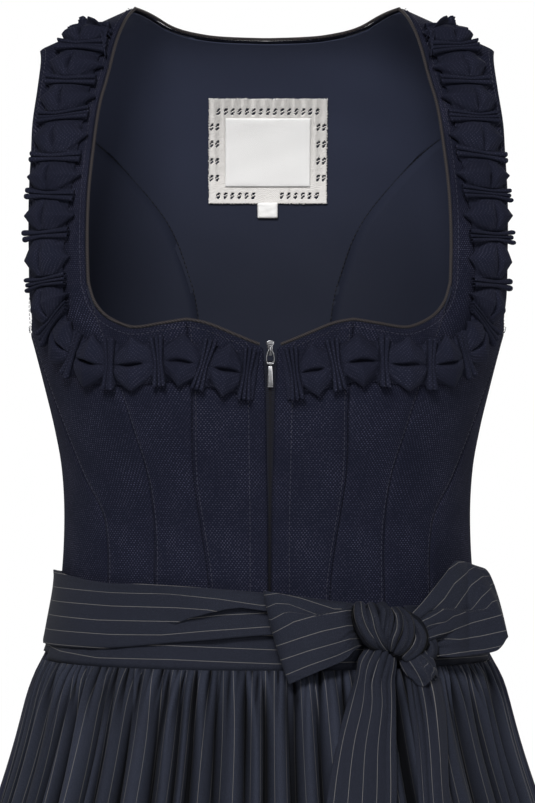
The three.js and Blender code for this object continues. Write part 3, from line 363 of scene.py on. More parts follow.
back_piece = patch(
    waist_edge(back_princess(0)[0], 2 * math.pi - back_princess(0)[0]),
    chain((turned_round(shoulder_edge(True)), 3), (neck_back, 4), (turned_round(past_middle(neck_back)), 4),
          (past_middle(shoulder_edge(True)), 3)),
    back_outer, past_middle(back_outer), relaxing=260)


class Value:
    """A number that varies over a surface: a socket, with arithmetic that adds Math nodes."""

    def __init__(self, recipe, socket):
        self.recipe, self.socket = recipe, socket

    def math(self, operation, *others):
        return self.recipe.node("ShaderNodeMath", {"operation": operation}, [self, *others])[0]

    def __add__(self, other):
        return self.math("ADD", other)

    def __sub__(self, other):
        return self.math("SUBTRACT", other)

    def __rsub__(self, other):
        return self.recipe.node("ShaderNodeMath", {"operation": "SUBTRACT"}, [other, self])[0]

    def __mul__(self, other):
        return self.math("MULTIPLY", other)

    def __truediv__(self, other):
        return self.math("DIVIDE", other)

    def __lt__(self, other):
        return self.math("LESS_THAN", other)

    def __gt__(self, other):
        return self.math("GREATER_THAN", other)

    __radd__, __rmul__ = __add__, __mul__


def shade(color, factor=1.0):
    """A colour made lighter or darker, with its alpha."""
    return (*(factor * c for c in color), 1)


class Recipe:
    """A material under construction: its constants are set on the shader, the rest is added node by node."""

    def __init__(self, name, **constants):
        self.material = bpy.data.materials.new(name)
        self.material.use_nodes = True
        self.tree = self.material.node_tree
        self.shader = self.tree.nodes["Principled BSDF"]
        for socket, value in constants.items():
            self.shader.inputs[socket.replace("_", " ")].default_value = value

    def node(self, kind, settings, values):
        made = self.tree.nodes.new(kind)
        for key, value in settings.items():
            setattr(made, key, value)
        for key, value in enumerate(values) if isinstance(values, list) else values.items():
            if isinstance(value, Value):
                self.tree.links.new(value.socket, made.inputs[key])
            else:
                made.inputs[key].default_value = value
        return [Value(self, socket) for socket in made.outputs if socket.enabled]

    def cloth_place(self):
        """Where a spot lies on the flat cloth, in metres across and along."""
        place = self.node("ShaderNodeUVMap", {"uv_map": "cloth"}, [])[0]
        across, along, _ = self.node("ShaderNodeSeparateXYZ", {}, [place])
        return place, across, along

    def noise(self, place, scale, detail=2.0, roughness=0.5):
        values = {"Vector": place, "Scale": scale, "Detail": detail, "Roughness": roughness}
        return self.node("ShaderNodeTexNoise", {}, values)[0]

    def mix(self, factor, first, second):
        return self.node("ShaderNodeMix", {"data_type": "RGBA"}, {0: factor, 6: first, 7: second})[0]

    def with_painted_shade(self, color):
        """The colour with painted shade: darkened towards black as far as the mesh's painted-shade values say, as in
        fold valleys.
        """
        painted_shade = self.node("ShaderNodeAttribute", {"attribute_name": "painted_shade"}, [])[2]
        return self.mix(painted_shade, color, shade((0, 0, 0)))

    def feed(self, socket, value):
        self.tree.links.new(value.socket, self.shader.inputs[socket])

    def bump(self, height, distance, strength=1.0):
        values = {"Height": height, "Distance": distance, "Strength": strength}
        self.feed("Normal", self.node("ShaderNodeBump", {}, values)[0])


def weave_height(recipe, across, along, pitch):
    """Threads of a plain weave: warp and weft ridges that pass over each other."""
    turns = 2 * math.pi / pitch
    return (across * turns).math("SINE") * (along * turns).math("SINE")


DOT_PITCH = 2.1 * MM


def pin_dot_cloth(name, base, dot, dot_strength):
    """Matt navy weave with a regular, staggered scatter of tiny pale flecks, stronger in some places."""
    recipe = Recipe(name, Roughness=0.9, Specular_IOR_Level=0.03, Sheen_Weight=0.012, Sheen_Roughness=0.4)
    recipe.shader.inputs["Sheen Tint"].default_value = (0.45, 0.5, 0.75, 1)
    place, across, along = recipe.cloth_place()
    rows = along / (DOT_PITCH * 0.62)
    dx = (across / DOT_PITCH + rows.math("FLOOR") * 0.5).math("FRACT") - 0.5
    dy = rows.math("FRACT") - 0.5
    away = (dx * dx + dy * dy * 0.5).math("SQRT")
    fleck = away.math("SMOOTH_MIN", 0.5, 0.01) < 0.2
    patches = recipe.noise(place, 26.0, 2.0)
    speckle = recipe.noise(place, 900.0, 1.0)
    strength = fleck * (0.25 + (speckle > 0.5) * 0.75) * (patches * 1.9 - 0.38).math("MAXIMUM", 0.12) * dot_strength
    cloudy = recipe.mix(patches, shade(base, 0.82), shade(base, 1.18))
    recipe.feed("Base Color", recipe.mix(strength, cloudy, shade(dot)))
    recipe.bump(weave_height(recipe, across, along, 0.55 * MM) + speckle, 0.05 * MM, 0.4)
    return recipe.material


bodice_cloth = pin_dot_cloth("navy_pin_dot_cloth", (0.0070, 0.0080, 0.0157), (0.105, 0.10, 0.15), 0.65)


def plain_cloth(name, base, pitch, roughness, sheen):
    """A plain woven cloth of one colour with slight slubs and cloudiness, and painted shade where the mesh carries it.
    """
    recipe = Recipe(name, Roughness=roughness, Specular_IOR_Level=0.05, Sheen_Weight=sheen * 0.4,
                    Sheen_Roughness=0.45)
    place, across, along = recipe.cloth_place()
    clouds = recipe.noise(place, 18.0, 3.0)
    slubs = recipe.noise(place, 1100.0, 1.0)
    uneven = clouds * 0.15 + slubs * 0.35
    woven = recipe.mix(uneven, shade(base, 0.75), shade(base, 1.3))
    # Painted shade: the colour is darkened towards black where the mesh's painted-shade values say.
    recipe.feed("Base Color", recipe.with_painted_shade(woven))
    recipe.bump(weave_height(recipe, across, along, pitch) + slubs, 0.04 * MM, 0.35)
    return recipe.material


lining_cloth = plain_cloth("smooth_navy_lining", (0.0310, 0.0362, 0.0620), 0.4 * MM, 0.6, 0.05)


def new_object(name, points, faces, material=None, place=None, painted_shade=None):
    """An object from points in millimetres, with their place on the flat cloth in metres and the painted shade that
    darkens their colour.
    """
    mesh = bpy.data.meshes.new(name)
    mesh.from_pydata((np.reshape(points, (-1, 3)) * MM).tolist(), [], faces)
    if place is not None:
        cloth = mesh.uv_layers.new(name="cloth")
        corner = np.zeros(len(mesh.loops), int)
        mesh.loops.foreach_get("vertex_index", corner)
        cloth.data.foreach_set("uv", place.reshape(-1, 2)[corner].ravel())
    if painted_shade is not None:
        painted_shade_layer = mesh.attributes.new("painted_shade", "FLOAT", "POINT")
        painted_shade_layer.data.foreach_set("value", np.broadcast_to(painted_shade, points.shape[:2]).ravel().astype(float))
    if material:
        mesh.materials.append(material)
    made = bpy.data.objects.new(name, mesh)
    bpy.context.collection.objects.link(made)
    return made


def grid_mesh(name, points, place, painted_shade=None):
    """A sheet of rows and columns of points."""
    rows, columns = points.shape[:2]
    at = np.arange(rows * columns).reshape(rows, columns)
    quads = np.stack([at[:-1, :-1], at[:-1, 1:], at[1:, 1:], at[1:, :-1]], axis=-1).reshape(-1, 4)
    return new_object(name, points, quads.tolist(), place=place, painted_shade=painted_shade)


def pick(obj):
    bpy.ops.object.select_all(action="DESELECT")
    obj.select_set(True)
    bpy.context.view_layer.objects.active = obj


def face_outward(obj):
    """Turns all the faces of a closed piece outward and shades it smooth."""
    pick(obj)
    bpy.ops.object.mode_set(mode="EDIT")
    bpy.ops.mesh.select_all(action="SELECT")
    bpy.ops.mesh.normals_make_consistent(inside=False)
    bpy.ops.object.mode_set(mode="OBJECT")
    bpy.ops.object.shade_smooth()


def apply_modifier(obj, kind, **settings):
    modifier = obj.modifiers.new("step", kind)
    for key, value in settings.items():
        setattr(modifier, key, value)
    pick(obj)
    bpy.ops.object.modifier_apply(modifier="step")


def thicken(obj, thickness, *materials):
    """Gives a sheet its wall, inward from its outer face. A second material covers the inner face."""
    for material in materials:
        obj.data.materials.append(material)
    apply_modifier(obj, "SOLIDIFY", thickness=thickness * MM, offset=-1, material_offset=len(materials) - 1)
    bpy.ops.object.shade_smooth()


def flat_place(points):
    """Cloth coordinates of a grid: run along each row and each column, in metres."""
    across = run_along(points, axis=1)
    across -= across[:, across.shape[1] // 2][:, None]
    return np.stack([across, run_along(points)], axis=-1) * MM


def grid_area(points):
    one, two = points[1:, 1:] - points[:-1, :-1], points[1:, :-1] - points[:-1, 1:]
    return 0.5 * np.linalg.norm(np.cross(one, two), axis=2).sum() * MM * MM


def enter(piece, node, body="dress"):
    """Says which body a piece moves with, and hides the node that it stands for, if any."""
    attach(piece, body)
    if node:
        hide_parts(node)


def enter_sheet(piece, points, rests_on, node):
    """Enters a sheet of cloth like any piece; its width, length and area are worked out but not used."""
    width, length = (run_along(points, axis).max() * MM for axis in (1, 0))
    area = float(min(max(grid_area(points), 0.31 * width * length), width * length))
    enter(piece, node)


MIRROR = np.array([-1, 1, 1])


def mirrored(points):
    """The same sheet on the other side, its columns turned round so that it still faces out."""
    return (points * MIRROR)[:, ::-1]


def panel_points(piece, columns, rows, lift, seam_dip=0.0):
    angle, level = piece(columns, rows)
    raised = np.full(angle.shape, float(lift))
    if seam_dip:
        across = run_along(body_point(angle, level, raised), axis=1)
        from_edge = np.minimum(across, across[:, -1:] - across)
        raised = raised - seam_dip * np.exp(-((from_edge / 1.3) ** 2))
    return body_point(angle, level, raised)


for name, piece, columns, rows, both in (
    ("centre_front", centre_piece, 36, 60, True),
    ("princess", princess_piece, 40, 60, True),
    ("side_front", side_front_piece, 36, 110, True),
    ("side", side_piece, 34, 56, True),
    ("side_back", side_back_piece, 40, 60, True),
    ("back", back_piece, 90, 84, False),
):
    outer = panel_points(piece, columns, rows, CLOTH, seam_dip=0.9)
    for side in ("right", "left") if both else ("",):
        points = mirrored(outer) if side == "left" else outer
        tag = f"_{side}" if side else ""
        # Painted shade: the panels' inner face, in the lining's cotton, is darkened to four tenths of its colour all
        # over; the pin-dot outer face doesn't read it.
        panel = grid_mesh(f"panel_{name}{tag}", points, flat_place(points), 0.6)
        thicken(panel, 1.1, bodice_cloth, lining_cloth)
        enter_sheet(panel, points, [f"bodice_{name}{tag}"], f"bodice_{name}{tag}")

# Lining: smooth navy cotton behind the back panels, hung free of the outer cloth by less than a millimetre and
# sewn to it round the neck and the armholes. It is seen through the neckline, with its two long curved seams
# pressed open, and it has the soft ripples of cloth that isn't held flat.
LINING_GAP, LINING = 0.8, 1.2


def dent(values, centre, spread):
    return np.exp(-(((values - centre) / spread) ** 2))


def soft_ripples(points, seed, count=14, size=0.35):
    """Shallow, long, uneven ripples over a sheet, as heights in millimetres."""
    draw = random.Random(seed)
    total = np.zeros(points.shape[:2])
    for _ in range(count):
        way = Vector((draw.uniform(-1, 1), draw.uniform(-0.3, 0.3), draw.uniform(-1, 1))).normalized()
        length, phase, strength = draw.uniform(34, 90), draw.uniform(0, 7), draw.uniform(0.3, 1)
        total += strength * np.sin(points @ np.array(way) * 2 * math.pi / length + phase)
    return total * size / math.sqrt(count)


for name, piece, columns, rows, both in (
    ("side_back", side_back_piece, 26, 54, True),
    ("back", back_piece, 70, 81, False),
):
    flat = panel_points(piece, columns, rows, -LINING_GAP)
    angle, level = piece(columns, rows)
    rippled = body_point(angle, level, -LINING_GAP - 0.35 + np.minimum(soft_ripples(flat, 7), 0.3))
    for side in ("right", "left") if both else ("",):
        points = mirrored(rippled) if side == "left" else rippled
        tag = f"_{side}" if side else ""
        # Painted shade: the lining is darkened more and more towards its lower part, deeper inside the bodice.
        lining = grid_mesh(f"lined_{name}{tag}", points, flat_place(points),
                           0.55 * (1 - smooth(-190, -50, points[..., 2])))
        thicken(lining, 0.6, lining_cloth)
        enter_sheet(lining, points, [f"panel_{name}{tag}"], f"lining_{name}{tag}")

# Neck piping: a cord covered in taupe satin bias cloth, sewn into the neck edge all the way round from one
# end of the zip to the other. A narrow pressed border with a sewn line lies beside it on the bodice.
PIPING_RADIUS = 1.0


def beside_edge(line, share, out, lift=CLOTH / 2):
    share = np.asarray(share, float)
    angle, level = line(share)
    before = body_point(*line(np.maximum(share - 0.006, 0)), lift)
    after = body_point(*line(np.minimum(share + 0.006, 1)), lift)
    sideways = unit(np.cross(unit(after - before), body_outward(angle, level)))
    return body_point(angle, level, lift) + sideways * np.asarray(out, float)[..., None]


neck_half = chain((neck_front, 5), (neck_side, 8), (neck_strap, 13), (neck_back, 9))
neck_share = np.linspace(0.25, 35, 260) / 35
piping_out = -(PIPING_RADIUS + 0.5 + smooth(0.74, 0.84, neck_share))
piping_half = beside_edge(neck_half, neck_share, piping_out)[:-1]
piping_line = np.concatenate([piping_half, (piping_half * MIRROR)[::-1]])


def round_cord(name, line, radius, material, sides=4):
    """A round cord along a line, drawn as a bevelled curve and made a mesh."""
    curve = bpy.data.curves.new(name, "CURVE")
    curve.dimensions = "3D"
    curve.bevel_depth = radius * MM
    curve.bevel_resolution = sides
    curve.use_fill_caps = True
    spline = curve.splines.new("POLY")
    spline.points.add(len(line) - 1)
    spline.points.foreach_set("co", np.c_[line * MM, np.ones(len(line))].ravel())
    cord = bpy.data.objects.new(name, curve)
    bpy.context.collection.objects.link(cord)
    pick(cord)
    bpy.ops.object.convert(target="MESH")
    cord = bpy.context.object
    cord.data.materials.append(material)
    bpy.ops.object.shade_smooth()
    return cord


def bias_satin(name, base, light):
    recipe = Recipe(name, Roughness=0.6, Specular_IOR_Level=0.1, Sheen_Weight=0.02)
    place = recipe.node("ShaderNodeTexCoord", {}, [])[3]
    threads = recipe.node("ShaderNodeTexWave", {"bands_direction": "DIAGONAL"}, {
        "Vector": place, "Scale": 330.0, "Distortion": 1.2, "Detail": 1.0})[1]
    recipe.feed("Base Color", recipe.mix(threads, shade(base), shade(light)))
    recipe.bump(threads, 0.08 * MM, 0.5)
    return recipe.material


piping_satin = bias_satin("taupe_bias_satin", (0.013, 0.0113, 0.0122), (0.036, 0.031, 0.032))
piping = round_cord("neck_cord", piping_line, PIPING_RADIUS, piping_satin)
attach(piping, "dress")
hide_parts("neck_piping")

# Pinched trim: a strip of the bodice's cloth laid in box pleats, each pinched together at its middle and sewn
# down, beside the neckline from the zip to the shoulder. Two or three narrow rolled folds stand between puffs
# that are slit by the pinch, come to a point at the strip's edges and are dark beneath.
TRIM_LINE = ((-233, 8.5), (-229.5, 30), (-224.5, 57), (-226.5, 88), (-223.5, 113), (-210, 130), (-190, 139.5),
             (-160, 142.5), (-130, 141.5), (-105, 139), (-80, 135.5), (-55, 131), (-33, 125), (-16, 116.5), (-5, 109.5))
TRIM_HALF_WIDTH = 17
TRIM_LIFT = CLOTH + 0.9
# The puffs' middles, as columns and rows of the photograph.
PUFF_COLUMNS_ROWS = ((226, 366), (184, 357), (136, 362), (94, 358), (73, 334), (53, 305), (45, 259), (46, 214),
                     (49, 180), (54, 141), (59, 100), (67, 65), (79, 33), (99, 15))
trim_line = edge([spot(z, x) for z, x in TRIM_LINE])
trim_cloth = pin_dot_cloth("navy_pinched_trim_cloth", (0.0092, 0.0103, 0.0190), (0.085, 0.083, 0.125), 0.4)


def step_off(angle, level, direction, distance):
    """The spot that lies a short way off across the body's surface, in a direction in space."""
    around, up = body_tangents(angle, level)
    aa, au, uu = (around * around).sum(-1), (around * up).sum(-1), (up * up).sum(-1)
    ad, ud = (around * direction).sum(-1) * distance, (up * direction).sum(-1) * distance
    scale = aa * uu - au * au
    return angle + (ad * uu - ud * au) / scale, level + (ud * aa - ad * au) / scale


def smooth_run(corners, steps):
    """Rows of numbers read smoothly, with some steps between each two rows."""
    return read_rows(corners, np.linspace(0, len(corners) - 1, steps * (len(corners) - 1) + 1))


trim_fine = np.linspace(0, 1, 500)
trim_spots = body_point(*trim_line(trim_fine), 0.0)
trim_run = run_along(trim_spots)
trim_length = trim_run[-1]
puff_middles = []
for column, row in PUFF_COLUMNS_ROWS:
    seen_x, seen_z = (ZIP_COLUMN - column) * PIXEL, (SHOULDER_ROW - row) * PIXEL
    nearest = np.argmin((trim_spots[:, 0] - seen_x) ** 2 + (trim_spots[:, 2] - seen_z) ** 2)
    puff_middles.append(trim_run[nearest])


def rolled_folds(t, at, step, count, draw):
    """Narrow rolled folds across the strip, closest together at its middle, wider at the top than at the foot."""
    wide = np.abs(t)
    corners = []
    lean = draw.uniform(-1.2, 1.2)
    for k in range(count):
        tall = draw.uniform(0.85, 1.1) * (3.2 + 2.2 * wide**1.3)
        if k == 1 and count != 2:
            tall = tall * draw.uniform(0.7, 1.0)
        centre = at + (k - (count - 1) / 2) * step * (0.62 + 0.42 * wide**1.2) + lean * t
        half = step * 0.5 * (0.66 + 0.36 * wide**1.2)
        for across, up in ((-0.55, 0.06), (-0.98, 0.45), (-0.70, 0.88), (0, 1.0),
                           (0.70, 0.88), (0.98, 0.45), (0.55, 0.06)):
            corners.append((centre + across * half, 0.3 + up * tall, t * (0.94 + 0.05 * up)))
    return corners


def puff(t, left, right, draw):
    """A slit puff between two groups of folds: its edges come to a point at the middle of its length."""
    wide = np.abs(t)
    body = np.clip(wide / 0.88, 0, 1)
    beyond = wide > 0.89
    bend, tilt = draw.uniform(-0.05, 0.05), draw.uniform(-0.14, 0.14)
    full = draw.uniform(5.4, 7.2)
    slit_middle, slit_half = draw.uniform(0.42, 0.58), draw.uniform(0.26, 0.36)
    creases = [draw.uniform(0, 6) for _ in range(2)]
    corners = []
    for share in (0.02, 0.10, 0.20, 0.31, 0.42, 0.5, 0.58, 0.69, 0.80, 0.90, 0.98):
        off = abs(2 * share - 1)
        point_share = 1.05 - 0.56 * off + tilt * (share - 0.5) * np.sign(t)
        reach = np.where(beyond, np.where(wide > 0.97, np.maximum(point_share, 0.80), point_share * 1.005),
                         body * point_share) * np.sign(t)
        profile = (0.80 + 0.34 * np.sin(math.pi * np.clip(body, 0, 1) ** 0.8) - 0.22 * body**3) * full
        rise = profile * (0.36 + 0.64 * (1 - off) ** 0.7)
        lips = np.exp(-(((body - 0.16) / 0.12) ** 2)) * 0.8 * math.exp(-((off / 0.7) ** 4))
        fan = 0.0
        for corner, phase in zip((share, 1 - share), creases):
            spokes = np.abs(np.sin(4 * np.arctan2(t, corner + 0.12) + phase)) - 0.6
            fan = fan + 1.5 * spokes * math.exp(-((corner / 0.45) ** 2))
        opened = math.exp(-(((share - slit_middle) / slit_half) ** 6))
        slit = np.exp(-(((t - bend * math.sin(7 * share)) / 0.05) ** 2)) * opened
        height = (rise + lips + fan * (0.3 + body * (1 - body) * 2.4)) * (1 - 0.86 * slit)
        height = np.where(beyond, np.where(wide > 0.97, 0.25, rise * 0.45), height)
        corners.append((left + (right - left) * share, height, reach))
    return corners


for side in ("right", "left"):
    draw = random.Random(11 if side == "right" else 24)
    half_rows = [0.03, 0.07, 0.13, 0.23, 0.36, 0.50, 0.64, 0.77, 0.88, 0.905, 1.0]
    t = np.array([-s for s in reversed(half_rows)] + [0.0] + half_rows)
    middles = [m + (draw.uniform(-1.6, 1.6) if side == "right" else 0) for m in puff_middles]
    ends = [6.5] + [(a + b) / 2 for a, b in zip(middles, middles[1:])] + [trim_length - 4]
    columns = [(np.zeros(t.shape) + 0.2, np.full(t.shape, 0.4), t)]
    for k, centre in enumerate(middles):
        count = draw.choice((2, 3, 3))
        step = 2.9 if count == 3 else 3.7
        columns += rolled_folds(t, ends[k] + draw.uniform(-0.6, 0.6), step, count, draw)
        gap = 0.5 * (count - 1) * step * 0.8 + 1.4
        columns += puff(t, ends[k] + gap, ends[k + 1] - 3.9, draw)
    columns += rolled_folds(t, ends[-1], 2.9, 2, draw)
    columns.append((np.full(t.shape, trim_length - 0.1), np.full(t.shape, 0.4), t))
    corners = np.array([[np.broadcast_to(value, t.shape) for value in corner] for corner in columns])
    fine = smooth_run(corners.transpose(0, 2, 1), 2)
    along, height, across_share = fine[..., 0], fine[..., 1], fine[..., 2]
    share = np.interp(np.clip(along, 0.1, trim_length - 0.1), trim_run, trim_fine)
    angle, level = trim_line(share)
    before, after = trim_line(np.maximum(share - 0.004, 0)), trim_line(np.minimum(share + 0.004, 1))
    way = unit(body_point(*after, 0.0) - body_point(*before, 0.0))
    across = unit(np.cross(body_outward(angle, level), way))
    on_strap = smooth(-216, -196, body_point(angle, level, 0.0)[..., 2])
    inward = np.where(across_share > 0, 0.93 + 0.25 * on_strap, 0.93 - 0.09 * on_strap)
    to = step_off(angle, level, across, across_share * TRIM_HALF_WIDTH * inward + 1.8 - 4.6 * (1 - on_strap))
    points = body_point(*to, TRIM_LIFT + 0.7 + height)
    run, wide = run_along(points), run_along(points, axis=1)
    wide -= wide[:, len(t) // 2][:, None]
    place = np.stack([np.broadcast_to(run[:, len(t) // 2][:, None], wide.shape), wide], axis=-1) * MM
    if side == "left":
        points = points * MIRROR
    else:
        points, place = points[::-1], place[::-1]
    trim = grid_mesh(f"pinched_trim_{side}", points, place)
    thicken(trim, 0.7, trim_cloth)
    enter_sheet(trim, points, [f"panel_side_front_{side}", f"panel_princess_{side}"],
                f"trim_{side}")

# Label inside the back: a frame of white crochet lace with rows of holes, a smooth white panel sewn on it along
# its edge, and a small folded ribbon below for the size. Panel and ribbon are bare.
LABEL_LIFT, LABEL_ASIDE, LABEL_UP = -3.0, 2.0, 5.2


def label_points(half_width, top, bottom, columns, rows, lift):
    xs = np.linspace(-half_width, half_width, columns + 1) + LABEL_ASIDE
    zs = np.linspace(bottom, top, rows + 1) + LABEL_UP
    spots = np.array([spot(z, 0.01, behind=True) for z in zs])
    grid = np.zeros((rows + 1, columns + 1, 3))
    for j, z in enumerate(zs):
        row = read_rows(BODY_ROWS, spots[j][1])
        share = np.minimum(np.abs(xs) / row[1], 1)
        turned = np.arcsin(share ** (SECTION_POWER / 2)) * np.sign(xs)
        grid[j] = body_point(math.pi - turned, np.full(xs.shape, spots[j][1]), lift)
    return grid


def white_thread(name, base, pitch, roughness=0.8):
    recipe = Recipe(name, Roughness=roughness, Specular_IOR_Level=0.3, Sheen_Weight=0.15)
    place, across, along = recipe.cloth_place()
    knots = recipe.noise(place, 1 / pitch, 2.0)
    recipe.feed("Base Color", recipe.mix(knots, shade(base, 0.86), shade(base)))
    depth = 0.25 * MM if pitch > 1 * MM else 0.05 * MM
    recipe.bump(weave_height(recipe, across, along, pitch) + knots * 1.5, depth, 0.8)
    return recipe.material


crochet_lace = white_thread("white_crochet_lace", (0.93, 0.90, 0.87), 1.3 * MM)
label_satin = white_thread("white_label_satin", (0.95, 0.94, 0.93), 0.35 * MM, 0.5)
LACE_COLUMNS, LACE_ROWS = 124, 112
LACE_HALF, LACE_TOP, LACE_BOTTOM = 39, -57.6, -127
lace_points = label_points(LACE_HALF, LACE_TOP, LACE_BOTTOM, LACE_COLUMNS, LACE_ROWS, LABEL_LIFT)
lace_x = np.linspace(-LACE_HALF, LACE_HALF, LACE_COLUMNS + 1)[None, :] + np.zeros((LACE_ROWS + 1, 1))
lace_z = np.linspace(LACE_BOTTOM, LACE_TOP, LACE_ROWS + 1)[:, None] + np.zeros((1, LACE_COLUMNS + 1))
loops = np.sin(lace_x * 2 * math.pi / 2.3) * np.sin(lace_z * 2 * math.pi / 2.3 + np.sin(lace_x * 1.4))
draw = random.Random(5)
ragged = np.array([[draw.uniform(-1, 1) for _ in range(LACE_COLUMNS + 1)] for _ in range(LACE_ROWS + 1)])
lace_points[..., 1] -= 0.22 * loops + 0.12 * ragged
rim = ((np.abs(lace_x) > LACE_HALF - 0.3) | (lace_z > LACE_TOP - 0.3) | (lace_z < LACE_BOTTOM + 0.3))
lace_points[..., 0] += np.where(rim, 0.35 * ragged + 0.3 * np.sin(lace_z * 3.4), 0)
lace_points[..., 2] += np.where(rim, 0.35 * ragged[::-1] + 0.3 * np.sin(lace_x * 3.4), 0)
lace = grid_mesh("label_lace", lace_points, flat_place(lace_points))


def hole_middles():
    """Where the lace's holes are: rows above and below the panel, and columns beside it."""
    for k in range(15):
        yield -32.5 + k * 4.64, -66.0
        if not 5 < k < 9:
            yield -32.5 + k * 4.64, -121.6
    for x in (-33.2, 33.2, -37.0, 37.0):
        for k in range(4):
            yield x, -76.2 - k * 11.2


def in_hole(x, z):
    for hole_x, hole_z in hole_middles():
        dx, dz = x - hole_x, z - hole_z
        slanted = dx - 0.22 * dz
        if (slanted / 1.3) ** 2 + (dz / 2.3) ** 2 < 1 and abs(dz - 0.55 * dx) > 0.3:
            return True
    return False


lace_mesh = bmesh.new()
lace_mesh.from_mesh(lace.data)
centres_x = 0.5 * (lace_x[:-1, :-1] + lace_x[1:, 1:])
centres_z = 0.5 * (lace_z[:-1, :-1] + lace_z[1:, 1:])
lace_mesh.faces.ensure_lookup_table()
open_cells = [face for face, x, z in zip(lace_mesh.faces, centres_x.ravel(), centres_z.ravel()) if in_hole(x, z)]
bmesh.ops.delete(lace_mesh, geom=open_cells, context="FACES")
lace_mesh.to_mesh(lace.data)
lace_mesh.free()
lace.data.flip_normals()
thicken(lace, 0.55, crochet_lace)
enter_sheet(lace, lace_points, ["lined_back"], "label_lace_frame")


def sewn_plate(name, node, half_width, top, bottom, lift, crown, columns, rows):
    """A flat white piece on the lace, its edge pressed down by the stitches round it."""
    points = label_points(half_width, top, bottom, columns, rows, lift)
    p, q = np.linspace(-1, 1, columns + 1)[None, :], np.linspace(-1, 1, rows + 1)[:, None]
    inner = (1 - np.abs(p) ** 14) * (1 - np.abs(q) ** 14)
    ripple = 0.12 * np.sin(p * 5 + q * 2) + 0.08 * np.sin(q * 7 - p * 3)
    points[..., 1] -= crown * inner + ripple * inner
    plate = grid_mesh(name, points, flat_place(points))
    plate.data.flip_normals()
    thicken(plate, 0.4, label_satin)
    enter_sheet(plate, points, ["label_lace"], node)
    return points


panel_label = sewn_plate("label_bare_panel", "label_panel", 28, -70, -115.5, LABEL_LIFT - 1.0, 0.45, 60, 50)
sewn_plate("label_size_ribbon", "size_tag", 6.5, -126.4, -136.5, LABEL_LIFT - 0.5, 0.9, 16, 14)


def stitch_row(name, line, normal, thread, length=2.4, gap=0.9, half=0.22, rise=0.12):
    """A row of stitches along a line: short rounded threads that dip at both ends, all in one mesh."""
    run = run_along(line)
    starts = np.arange(gap / 2, run[-1] - length, length + gap)
    sides = 4
    shares = np.array([0.0, 0.2, 0.8, 1.0])
    swell = np.array([0.35, 1.0, 1.0, 0.35])
    lifts = np.array([-0.25, rise, rise, -0.25])
    verts, faces = [], []
    read = lambda table, at: np.stack([np.interp(at, run, table[:, k]) for k in range(3)], axis=-1)
    for start in starts:
        at = start + shares * length
        centre, out = read(line, at), unit(read(normal, at))
        along = unit(centre[-1] - centre[0])
        side = unit(np.cross(out, along))
        base = len(verts)
        for c, o, w, s, up in zip(centre, out, swell, side, lifts):
            for k in range(sides):
                turned = 2 * math.pi * k / sides
                verts.append(c + o * (up + half * w * math.cos(turned)) + s * half * w * math.sin(turned))
        for ring in range(len(shares) - 1):
            for k in range(sides):
                a, b = base + ring * sides + k, base + ring * sides + (k + 1) % sides
                faces.append((a, b, b + sides, a + sides))
        faces.append(tuple(base + k for k in reversed(range(sides))))
        faces.append(tuple(base + (len(shares) - 1) * sides + k for k in range(sides)))
    row = new_object(name, verts, faces, thread)
    face_outward(row)
    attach(row, "dress")
    return row


def thread_material(name, base, roughness=0.6):
    recipe = Recipe(name, Roughness=roughness, Specular_IOR_Level=0.3)
    place = recipe.node("ShaderNodeTexCoord", {}, [])[3]
    twist = recipe.noise(place, 2200.0, 1.0)
    recipe.feed("Base Color", recipe.mix(twist, shade(base, 0.7), shade(base, 1.3)))
    return recipe.material


white_sewing = thread_material("white_sewing_thread", (0.8, 0.79, 0.77))
navy_sewing = thread_material("navy_sewing_thread", (0.024, 0.024, 0.038))
edge_in = 2
ring = np.concatenate([panel_label[edge_in, edge_in:-edge_in], panel_label[edge_in:-edge_in, -edge_in - 1],
                       panel_label[-edge_in - 1, edge_in:-edge_in][::-1], panel_label[edge_in:-edge_in, edge_in][::-1]])
stitch_row("label_stitches", ring, np.broadcast_to(np.array([0.0, -1.0, 0.0]), ring.shape), white_sewing,
           length=1.5, gap=0.9, half=0.25)

# Topstitching: a row of matching thread 2.5 mm from every bodice seam, on the side towards the front's middle,
# one row beside each half of the zip, and one row round the neck and the armholes.
def line_inside(piece, column_share, away, rows=160, from_row=0.0, to_row=1.0):
    """A line on a panel at a distance from one of its long edges, with the surface's direction outward."""
    angle, level = piece(60, rows)
    angle, level = angle[int(from_row * rows):int(to_row * rows) + 1], level[int(from_row * rows):int(to_row * rows) + 1]
    points = body_point(angle, level, CLOTH + 0.05)
    step = np.linalg.norm(np.diff(points, axis=1), axis=2)
    run = np.concatenate([np.zeros((len(points), 1)), np.cumsum(step, axis=1)], axis=1)
    target = np.full(len(points), away) if column_share == 0 else run[:, -1] - away
    line, out = [], []
    for j in range(len(points)):
        a = np.interp(target[j], run[j], angle[j])
        b = np.interp(target[j], run[j], level[j])
        line.append((a, b))
    a, b = np.array(line).T
    around, up = body_tangents(a, b)
    return body_point(a, b, CLOTH + 0.02), unit(np.cross(around, up))


